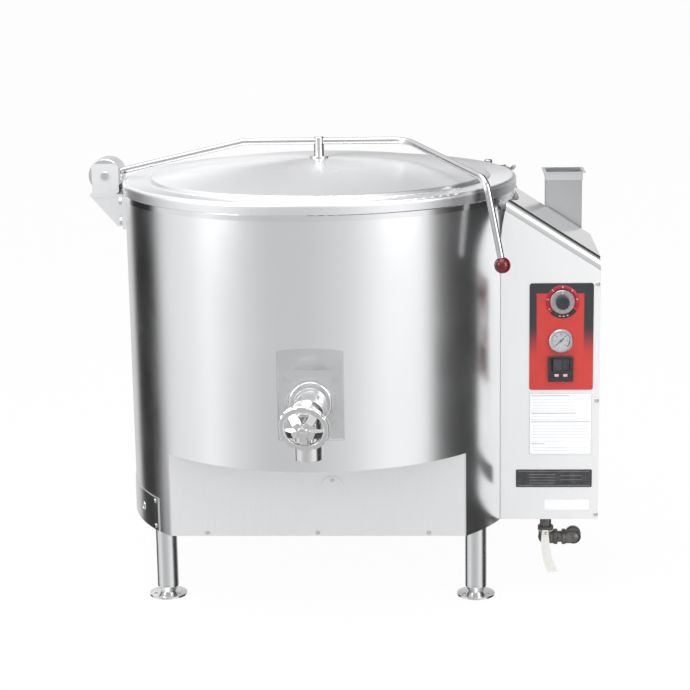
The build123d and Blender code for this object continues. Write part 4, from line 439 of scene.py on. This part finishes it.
# ---- Draw-off tube, plate and bolts ----
# The tube is welded to the bowl's foot and ends in a flat satin plate, sunk in the shell,
# which four hexagon bolts hold.
plate_steel = metal("plate steel, satin", (0.76, 0.765, 0.77), 0.24, (900, 900, 30), 0.12, 0.05, worn=0.0008)
finish_with(plate_steel, "draw_off_plate")
finish_with(turned_steel, "draw_off_tube")
bolt_steel = metal("bolt steel, cold headed", (0.74, 0.74, 0.745), 0.20, (500, 500, 500), 0.3, 0.06, worn=0.0008)
finish_with(bolt_steel, "hex_bolts")

# ---- Draw-off valve ----
# An angle valve: body and handwheel are stainless investment castings, vibration polished.
# Bonnet, stem, disc and wheel nut are turned from bar; the body is screwed on the tube's end.
cast_steel = metal("cast steel, vibration polished", (0.76, 0.76, 0.765), 0.16, (160, 160, 160), 0.4, 0.06, worn=0.0016)
finish_with(cast_steel, "valve_body", "handwheel")
finish_with(turned_steel, "valve_bonnet", "valve_stem", "valve_disc", "handwheel_nut")

# ---- Front panel and access covers ----
# Flat satin panel screwed across the drum's foot, with a pivoting sight cover over the burner hole,
# and a curved access cover on the lower left.
panel_steel = metal("panel steel, satin", (0.87, 0.875, 0.88), 0.32, (1200, 1200, 12), 0.25, 0.05, metallic=0.7)
finish_with(panel_steel, "front_panel", "sight_cover")
finish_with(drum_steel, "side_access_cover")

# ---- Floor pan, legs and feet ----
# The pan closes the drum below. Three legs of 50 mm tube are welded under it, and each takes
# a round flanged foot, screwed in for levelling, with three bolt holes.
leg_steel = metal("leg tube, satin", (0.74, 0.745, 0.75), 0.26, (1000, 1000, 30), 0.25, 0.05)
finish_with(panel_steel, "base_pan")
finish_with(leg_steel, "legs")
finish_with(turned_steel, "foot_front_left", "foot_front_right", "foot_rear")

# ---- Burner and gas manifold ----
# Slotted cast-iron burner bars stand on a welded iron manifold under the jacket, dark from heat.
# The iron risers of the safety fittings have the same rough skin.
burner_iron = mottled("burner iron", (0.10, 0.09, 0.085), (0.05, 0.045, 0.04), 0.6, 60, 0.6, metallic=0.6)
finish_with(burner_iron, "burner", "burner_manifold", "steam_pipes")

# ---- Control box ----
# Folded from 1.5 mm satin stainless sheet and screwed together, with a flat back.
# Its sloping polished cover is rolled over the front edge.
box_steel = metal("box steel, satin", (0.88, 0.885, 0.89), 0.36, (1200, 1200, 10), 0.2, 0.05, metallic=0.5)
cover_steel = metal("cover steel, polished", (0.84, 0.845, 0.85), 0.13, (30, 900, 900), 0.12, 0.04)
finish_with(box_steel, "control_box", "control_box_back")


def sharp_by_angle(piece, degrees=30):
    """Keeps corners crisp while the round parts are shaded smooth."""
    shape = bmesh.new()
    shape.from_mesh(piece.data)
    for edge in shape.edges:
        if len(edge.link_faces) == 2:
            edge.smooth = edge.calc_face_angle(0) < math.radians(degrees)
    shape.to_mesh(piece.data)
    shape.free()
    return piece


# The solid cover is folded square at the front top edge; here that fold is drawn into its roll.
roll, roll_steps = 0.022, 6
box_front, box_right, box_low_top = -0.180, 0.648, 0.794
box_slope = math.radians(32.7)
slope_out = Vector((math.sin(box_slope), 0, math.cos(box_slope)))
fold = Vector((box_right, box_front, box_low_top))
cover = bmesh.new()
cover.from_mesh(nodes["control_box_cover"].data)
bmesh.ops.remove_doubles(cover, verts=cover.verts, dist=1e-6)
for step in range(1, roll_steps + 1):
    behind_fold = fold + Vector((0, roll * step / roll_steps, 0))
    below_fold = fold - slope_out * roll * step / roll_steps
    for origin, across in ((behind_fold, Vector((0, 1, 0))), (below_fold, slope_out)):
        bmesh.ops.bisect_plane(cover, geom=cover.verts[:] + cover.edges[:] + cover.faces[:], dist=1e-7,
                               plane_co=origin, plane_no=across)
for corner in cover.verts:
    back = corner.co.y - box_front
    down = (fold - corner.co).dot(slope_out)
    if back < roll and down < roll:
        if abs(back - down) < 1e-5:
            bend, depth = math.radians(45), back
        elif down < back:
            bend, depth = math.radians(45) * (roll - back) / roll, down
        else:
            bend, depth = math.radians(90) - math.radians(45) * (roll - down) / roll, back
        new_back = roll - (roll - depth) * math.sin(bend)
        new_down = roll - (roll - depth) * math.cos(bend)
        corner.co += Vector((0, new_back - back, 0)) - slope_out * (new_down - down)
bmesh.ops.recalc_face_normals(cover, faces=cover.faces)
sharp_by_angle(add_piece("rolled_cover", cover, cover_steel, "frame", "control_box_cover"))

# ---- Control plate ----
# A thin aluminium plate, screen printed in red with a black border at the top, which fades to red
# down both sides. It is stuck on the box's front and carries the dial, gauge and switch.
print_paint = bpy.data.materials.new("printed plate, black to red")
print_paint.use_nodes = True
tree = print_paint.node_tree
shader = tree.nodes["Principled BSDF"]
shader.inputs["Coat Weight"].default_value = 0.35
shader.inputs["Coat Roughness"].default_value = 0.12
place = tree.nodes.new("ShaderNodeTexCoord")
split = tree.nodes.new("ShaderNodeSeparateXYZ")
tree.links.new(place.outputs["Object"], split.inputs[0])
ramps = {}
# Each ramp: what it follows, from where to where, in metres.
for name, source, start, end in (
    ("left edge", "X", 0.5045, 0.5015), ("right edge", "X", 0.6085, 0.6125),
    ("top edge", "Z", 0.7105, 0.7130), ("side fade", "Z", 0.555, 0.640),
):
    ramp = tree.nodes.new("ShaderNodeMapRange")
    ramp.interpolation_type = "SMOOTHSTEP"
    ramp.inputs["From Min"].default_value = min(start, end)
    ramp.inputs["From Max"].default_value = max(start, end)
    if start > end:
        ramp.inputs["To Min"].default_value = 1
        ramp.inputs["To Max"].default_value = 0
    tree.links.new(split.outputs[source], ramp.inputs["Value"])
    ramps[name] = ramp.outputs[0]


def combine(operation, first, second):
    """One maths node between two values of the print."""
    node = tree.nodes.new("ShaderNodeMath")
    node.operation = operation
    tree.links.new(first, node.inputs[0])
    tree.links.new(second, node.inputs[1])
    return node.outputs[0]


border = combine("MAXIMUM", combine("MAXIMUM", ramps["left edge"], ramps["right edge"]), ramps["top edge"])
black_share = combine("MULTIPLY", border, ramps["side fade"])
spots = tree.nodes.new("ShaderNodeGroup")
spots.node_tree = mottle
spots.inputs["Scale"].default_value = 40
red = tree.nodes.new("ShaderNodeMix")
red.data_type = "RGBA"
red.inputs["A"].default_value = (0.50, 0.030, 0.024, 1)
red.inputs["B"].default_value = (0.58, 0.040, 0.030, 1)
ink = tree.nodes.new("ShaderNodeMix")
ink.data_type = "RGBA"
ink.inputs["B"].default_value = (0.022, 0.025, 0.030, 1)
rough = tree.nodes.new("ShaderNodeMapRange")
rough.inputs["To Min"].default_value = 0.30
rough.inputs["To Max"].default_value = 0.42
bump = tree.nodes.new("ShaderNodeBump")
bump.inputs["Strength"].default_value = 0.15
bump.inputs["Distance"].default_value = 0.0003
tree.links.new(place.outputs["Object"], spots.inputs["Place"])
tree.links.new(spots.outputs["Patches"], red.inputs["Factor"])
tree.links.new(black_share, ink.inputs["Factor"])
tree.links.new(red.outputs["Result"], ink.inputs["A"])
tree.links.new(ink.outputs["Result"], shader.inputs["Base Color"])
tree.links.new(spots.outputs["Pebble"], rough.inputs["Value"])
tree.links.new(rough.outputs[0], shader.inputs["Roughness"])
tree.links.new(spots.outputs["Pebble"], bump.inputs["Height"])
tree.links.new(bump.outputs[0], shader.inputs["Normal"])
printed = bmesh.new()
printed.from_mesh(nodes["control_panel_plate"].data)
bmesh.ops.remove_doubles(printed, verts=printed.verts, dist=1e-6)
printed_plate = add_piece("printed_plate", printed, print_paint, "frame", "control_panel_plate",
                          smooth=False)
printed_plate.visible_glossy = False

# ---- Thermostat ----
# A printed ring round the dial: red for the range, black for off, with plain figures.
# The dial is a spun aluminium skirt with a fluted black grip pressed on its shaft.
black_ink = mottled("black ink", (0.030, 0.032, 0.036), (0.020, 0.021, 0.024), 0.4, 80, 0.1)
white_ink = mottled("white ink", (0.80, 0.80, 0.80), (0.70, 0.70, 0.70), 0.5, 80, 0.1)
crimson_ink = mottled("crimson ink", (0.42, 0.012, 0.035), (0.33, 0.010, 0.028), 0.4, 60, 0.1)
dial_skirt = metal("dial skirt, spun aluminium", (0.50, 0.49, 0.50), 0.28, (900, 900, 900), 0.4, 0.06)
grip_black = mottled("grip black", (0.035, 0.037, 0.042), (0.022, 0.023, 0.027), 0.35, 90, 0.3)
moulded_black = mottled("thermostat body", (0.10, 0.10, 0.10), (0.07, 0.07, 0.07), 0.5, 60, 0.3)
finish_with(moulded_black, "thermostat_body")


def facing_front(x, y, z):
    """Turns local Z to the operator's side and moves the origin to a place."""
    return Matrix.Translation((x, y, z)) @ Matrix.Rotation(math.pi / 2, 4, "X")


def film_ring(inner, outer, start, end, thick, place, steps=64):
    """A thin printed ring or part of one: angles in degrees, clockwise from the top, seen from the front."""
    shape = bmesh.new()
    corners = [shape.verts.new(corner) for corner in
               ((0, inner, 0), (0, outer, 0), (0, outer, thick), (0, inner, thick))]
    face = shape.faces.new(corners)
    bmesh.ops.rotate(shape, verts=shape.verts, cent=(0, 0, 0), matrix=Matrix.Rotation(math.radians(-start), 3, "Z"))
    whole = abs(end - start) >= 359.9
    bmesh.ops.spin(shape, geom=[face] + list(face.edges) + corners, cent=(0, 0, 0), axis=(0, 0, -1),
                   angle=math.radians(end - start), steps=steps, use_merge=whole)
    if not whole:
        bmesh.ops.holes_fill(shape, edges=shape.edges)
    bmesh.ops.remove_doubles(shape, verts=shape.verts, dist=1e-7)
    bmesh.ops.recalc_face_normals(shape, faces=shape.faces)
    shape.transform(place)
    return shape


def film_text(words, size, place, thick=0.00008):
    """Printed figures as a thin mesh, centred on a place."""
    line = bpy.data.curves.new("figures", "FONT")
    line.body = words
    line.size = size
    line.align_x = "CENTER"
    line.align_y = "CENTER"
    line.extrude = thick / 2
    carrier = bpy.data.objects.new("figures", line)
    data = bpy.data.meshes.new_from_object(carrier)
    bpy.data.objects.remove(carrier)
    shape = bmesh.new()
    shape.from_mesh(data)
    bpy.data.meshes.remove(data)
    shape.transform(place)
    return shape


def film_bar(width, height, thick, place):
    """A thin printed or engraved bar, its corners slightly rounded."""
    shape = bmesh.new()
    bmesh.ops.create_grid(shape, x_segments=1, y_segments=1, size=0.5)
    bmesh.ops.scale(shape, verts=shape.verts, vec=(width, height, 1))
    bmesh.ops.bevel(shape, geom=shape.verts[:], offset=min(width, height) * 0.2, segments=2, profile=0.5,
                    affect="VERTICES", material=-1)
    raised = bmesh.ops.extrude_face_region(shape, geom=shape.faces[:])
    bmesh.ops.translate(shape, verts=[item for item in raised["geom"] if isinstance(item, bmesh.types.BMVert)],
                        vec=(0, 0, thick))
    bmesh.ops.recalc_face_normals(shape, faces=shape.faces)
    shape.transform(place)
    return shape


def joined(shapes):
    """One bmesh of several."""
    whole = bmesh.new()
    for shape in shapes:
        data = bpy.data.meshes.new("part")
        shape.to_mesh(data)
        shape.free()
        whole.from_mesh(data)
        bpy.data.meshes.remove(data)
    return whole


dial_x, dial_z = 0.5615, 0.6924
plate_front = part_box("control_panel_plate")[0].y
ring_front = facing_front(dial_x, plate_front, dial_z)
ring_inner, ring_outer, ring_thick = 0.0290, 0.0385, 0.00012
figure_circle, figure_size = 0.0338, 0.0072
add_piece("range_ring", film_ring(ring_inner, ring_outer, -128, 118, ring_thick, ring_front, 96), crimson_ink,
          "frame")
add_piece("off_ring", film_ring(ring_inner, ring_outer, 122, 228, ring_thick, ring_front, 48), black_ink,
          "frame")
figures = []
for number, angle in enumerate((-120, -80, -40, 0, 40, 80)):
    turn_to = ring_front @ Matrix.Rotation(math.radians(-angle), 4, "Z")
    figures.append(film_text(str(number + 1), figure_size, turn_to @ Matrix.Translation((0, figure_circle, 0.00018))))
for angle in (160, 175, 190):
    turn_to = ring_front @ Matrix.Rotation(math.radians(-angle), 4, "Z")
    figures.append(film_bar(0.0042, 0.0016, 0.0001, turn_to @ Matrix.Translation((0, figure_circle, 0.00014))))
add_piece("dial_figures", joined(figures), white_ink, "frame", smooth=False)

plate_gap, skirt_height = 0.0003, 0.0040
skirt_front = plate_front - plate_gap - skirt_height
dial = bmesh.new()
dial.from_mesh(nodes["thermostat_dial"].data)
bmesh.ops.remove_doubles(dial, verts=dial.verts, dist=1e-6)
dial_mesh = add_piece("dial", dial, dial_skirt, "dial", "thermostat_dial", smooth=False).data
dial_mesh.materials.append(grip_black)
for face in dial_mesh.polygons:
    middle = sum((dial_mesh.vertices[corner].co for corner in face.vertices), Vector()) / len(face.vertices)
    face.material_index = 1 if middle.y < skirt_front - 0.0001 else 0
pointer = facing_front(dial_x, skirt_front, dial_z)
pointer_marks = [film_bar(0.0016, 0.0070, 0.0001, pointer @ Matrix.Translation((0, 0.0222, 0)))]
for angle in range(30, 360, 30):
    spot = pointer @ Matrix.Rotation(math.radians(angle), 4, "Z") @ Matrix.Translation((0, 0.0240, 0))
    pointer_marks.append(film_bar(0.0006, 0.0030, 0.0001, spot))
add_piece("dial_marks", joined(pointer_marks), white_ink, "dial", smooth=False)

# ---- Pressure gauge ----
# A chromed brass case with a rolled bezel, a white enamelled face with a plain scale,
# a black needle and a flat glass.
chrome = metal("bezel chrome", (0.78, 0.78, 0.79), 0.08, (400, 400, 400), 0.1, 0.03)
enamel = mottled("gauge enamel", (0.86, 0.88, 0.90), (0.80, 0.82, 0.85), 0.35, 50, 0.05)
needle_paint = mottled("needle paint", (0.10, 0.02, 0.05), (0.06, 0.012, 0.03), 0.35, 90, 0.1)
finish_with(chrome, "gauge_case")
finish_with(enamel, "gauge_face")
finish_with(needle_paint, "gauge_needle")
face_low, face_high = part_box("gauge_face")
face_front = -0.1838            # the front of the face plate, behind its raised edge
scale_front = facing_front((face_low.x + face_high.x) / 2, face_front, (face_low.z + face_high.z) / 2)
scale_circle, scale_end = 0.0208, 135   # radius of the scale's line, and degrees from its middle to each end
scale_steps, steps_per_figure = 30, 5
figure_circle, figure_size = 0.0142, 0.0046
scale_marks = [film_ring(scale_circle - 0.0002, scale_circle + 0.0002, -scale_end, scale_end, 0.0001, scale_front, 90)]
for step in range(scale_steps + 1):
    angle = math.radians(-scale_end + step * 2 * scale_end / scale_steps)
    has_figure = step % steps_per_figure == 0
    thick, reach = (0.0007, 0.0036) if has_figure else (0.0004, 0.0018)
    spot = scale_front @ Matrix.Rotation(-angle, 4, "Z") @ Matrix.Translation((0, scale_circle - reach / 2, 0))
    scale_marks.append(film_bar(thick, reach, 0.0001, spot))
    if has_figure:
        spot = scale_front @ Matrix.Translation((figure_circle * math.sin(angle), figure_circle * math.cos(angle),
                                                 0.0001))
        scale_marks.append(film_text(str(step * 2), figure_size, spot))
add_piece("gauge_scale", joined(scale_marks), black_ink, "frame", smooth=False)
add_piece("gauge_limit", film_ring(0.0185, 0.0204, 90, scale_end, 0.0001, scale_front, 24), crimson_ink, "frame")

clear_glass = bpy.data.materials.new("gauge glass")
clear_glass.use_nodes = True
tree = clear_glass.node_tree
shader = tree.nodes["Principled BSDF"]
shader.inputs["Base Color"].default_value = (0.97, 0.98, 0.98, 1)
shader.inputs["Transmission Weight"].default_value = 1
shader.inputs["IOR"].default_value = 1.45
place = tree.nodes.new("ShaderNodeTexCoord")
haze = tree.nodes.new("ShaderNodeTexNoise")
haze.inputs["Scale"].default_value = 120
rough = tree.nodes.new("ShaderNodeMapRange")
rough.inputs["To Min"].default_value = 0.0
rough.inputs["To Max"].default_value = 0.03
tree.links.new(place.outputs["Object"], haze.inputs["Vector"])
tree.links.new(haze.outputs["Fac"], rough.inputs["Value"])
tree.links.new(rough.outputs[0], shader.inputs["Roughness"])
finish_with(clear_glass, "gauge_lens")

# ---- Power switch and lamps ----
# A snap-in black nylon housing with a rocker that clicks on its pivot,
# over two small lamp windows of pink plastic.
switch_nylon = mottled("switch nylon", (0.030, 0.032, 0.036), (0.018, 0.019, 0.022), 0.45, 120, 0.5)
rocker_nylon = mottled("rocker nylon", (0.040, 0.044, 0.052), (0.026, 0.028, 0.034), 0.28, 120, 0.2)
lamp_window = mottled("lamp window", (0.80, 0.52, 0.52), (0.72, 0.38, 0.38), 0.2, 200, 0.2, coat=0.5)
finish_with(switch_nylon, "switch_housing")
finish_with(rocker_nylon, "switch_rocker")
finish_with(lamp_window, "indicator_lamps")

# ---- Instruction sheet, blank name plate and small labels ----
# White laminated sheets stuck on the box's front. The largest has a thin border
# and is ruled in plain lines; the others are bare.
paper = mottled("laminated sheet", (0.86, 0.865, 0.87), (0.82, 0.825, 0.835), 0.30, 25, 0.08, coat=0.3)
grey_ink = mottled("grey ink", (0.36, 0.37, 0.38), (0.30, 0.31, 0.32), 0.5, 80, 0.1)
finish_with(paper, "label_plates")
sheet_left, sheet_right, sheet_foot, sheet_top = 0.4870, 0.6311, 0.3308, 0.4781
sheet_middle = (sheet_left + sheet_right) / 2
label_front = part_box("label_plates")[0].y
border, border_inset, margin = 0.0009, 0.0010, 0.002
rule_width = sheet_right - sheet_left - margin
film = 0.00006
# Rules: height, share of the sheet's width, thickness. The short thick ones start at the left.
rules = []
for level, wide, thick in (
    (sheet_top - border_inset, 1.0, border), (sheet_foot + border_inset, 1.0, border),
    (0.4715, 0.62, 0.0016), (0.4300, 0.72, 0.0016), (0.4095, 0.95, 0.0014), (0.3570, 0.22, 0.0014),
    (0.4355, 0.96, 0.0004), (0.4150, 0.96, 0.0004), (0.3630, 0.96, 0.0004),
    (0.4630, 0.90, 0.0004), (0.4560, 0.90, 0.0004), (0.4490, 0.90, 0.0004), (0.4420, 0.90, 0.0004),
    (0.4225, 0.90, 0.0004), (0.4000, 0.90, 0.0004), (0.3930, 0.90, 0.0004), (0.3860, 0.90, 0.0004),
    (0.3790, 0.90, 0.0004), (0.3720, 0.90, 0.0004), (0.3480, 0.90, 0.0004), (0.3410, 0.90, 0.0004),
):
    middle = sheet_middle if wide > 0.8 else sheet_left + (sheet_right - sheet_left) * (0.03 + wide / 2)
    rules.append(film_bar(rule_width * wide, thick, film, facing_front(middle, label_front, level)))
for side in (sheet_left + border_inset, sheet_right - border_inset):
    spot = facing_front(side, label_front, (sheet_foot + sheet_top) / 2)
    rules.append(film_bar(border, sheet_top - sheet_foot - margin, film, spot))
add_piece("sheet_rules", joined(rules), grey_ink, "frame", smooth=False)

# ---- Rating plate ----
# A dark etched aluminium plate with a pale rim, riveted to the box's front.
# Its ruled boxes are empty.
plate_dark = mottled("etched plate", (0.085, 0.085, 0.088), (0.055, 0.055, 0.058), 0.40, 60, 0.2, metallic=0.5)
finish_with(plate_dark, "rating_plate")
rating_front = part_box("rating_plate")[0].y + 0.0012    # the plate's front, behind the rivet heads
boxes = []
# Rules: middle in X and Z, width, thickness.
for across, level, wide, thick in (
    (0.5450, 0.2905, 0.165, 0.0007), (0.5450, 0.2563, 0.165, 0.0007),
    (0.5180, 0.2830, 0.060, 0.0006), (0.5180, 0.2760, 0.060, 0.0006), (0.5180, 0.2690, 0.060, 0.0006),
    (0.5180, 0.2620, 0.060, 0.0006), (0.5850, 0.2800, 0.050, 0.0006), (0.5850, 0.2700, 0.050, 0.0006),
):
    boxes.append(film_bar(wide, thick, 0.00008, facing_front(across, rating_front, level)))
add_piece("rating_lines", joined(boxes), grey_ink, "frame", smooth=False)

# ---- Gas valve, elbows and nipples ----
# A cast aluminium combination valve stands inside the box.
# Below it, malleable iron elbows are screwed on short nipples of black pipe.
pipe_iron = mottled("malleable iron", (0.20, 0.19, 0.18), (0.11, 0.105, 0.10), 0.42, 70, 0.8, metallic=0.75)
valve_cast = metal("cast aluminium", (0.60, 0.60, 0.60), 0.42, (200, 200, 200), 0.6, 0.06)
finish_with(pipe_iron, "gas_elbows", "gas_nipples")
finish_with(valve_cast, "gas_valve")

# ---- Hang tag ----
# A strip of stiff card, bare on both sides,
# which hangs by its loop from the gas pipe.
card = mottled("tag card", (0.80, 0.80, 0.76), (0.74, 0.74, 0.70), 0.6, 30, 0.2)
finish_with(card, "hang_tag")

# ---- Flue ----
# A square duct folded from aluminised sheet stands behind the box,
# with a riveted flanged collar on top for the stack.
flue_steel = metal("aluminised sheet", (0.50, 0.51, 0.52), 0.40, (60, 60, 600), 0.3, 0.07)
collar_steel = metal("flue collar sheet", (0.74, 0.75, 0.76), 0.34, (200, 600, 600), 0.3, 0.06)
finish_with(flue_steel, "flue_duct")
finish_with(collar_steel, "flue_collar")

# ---- Safety valve and air vent ----
# Nickel-plated brass fittings, screwed on iron risers from the jacket.
# The safety valve has a forged test lever that swings up on its pin.
nickel = metal("nickel-plated brass", (0.50, 0.48, 0.44), 0.24, (500, 500, 900), 0.3, 0.06)
finish_with(nickel, "safety_valve", "safety_valve_lever", "vent_valve")
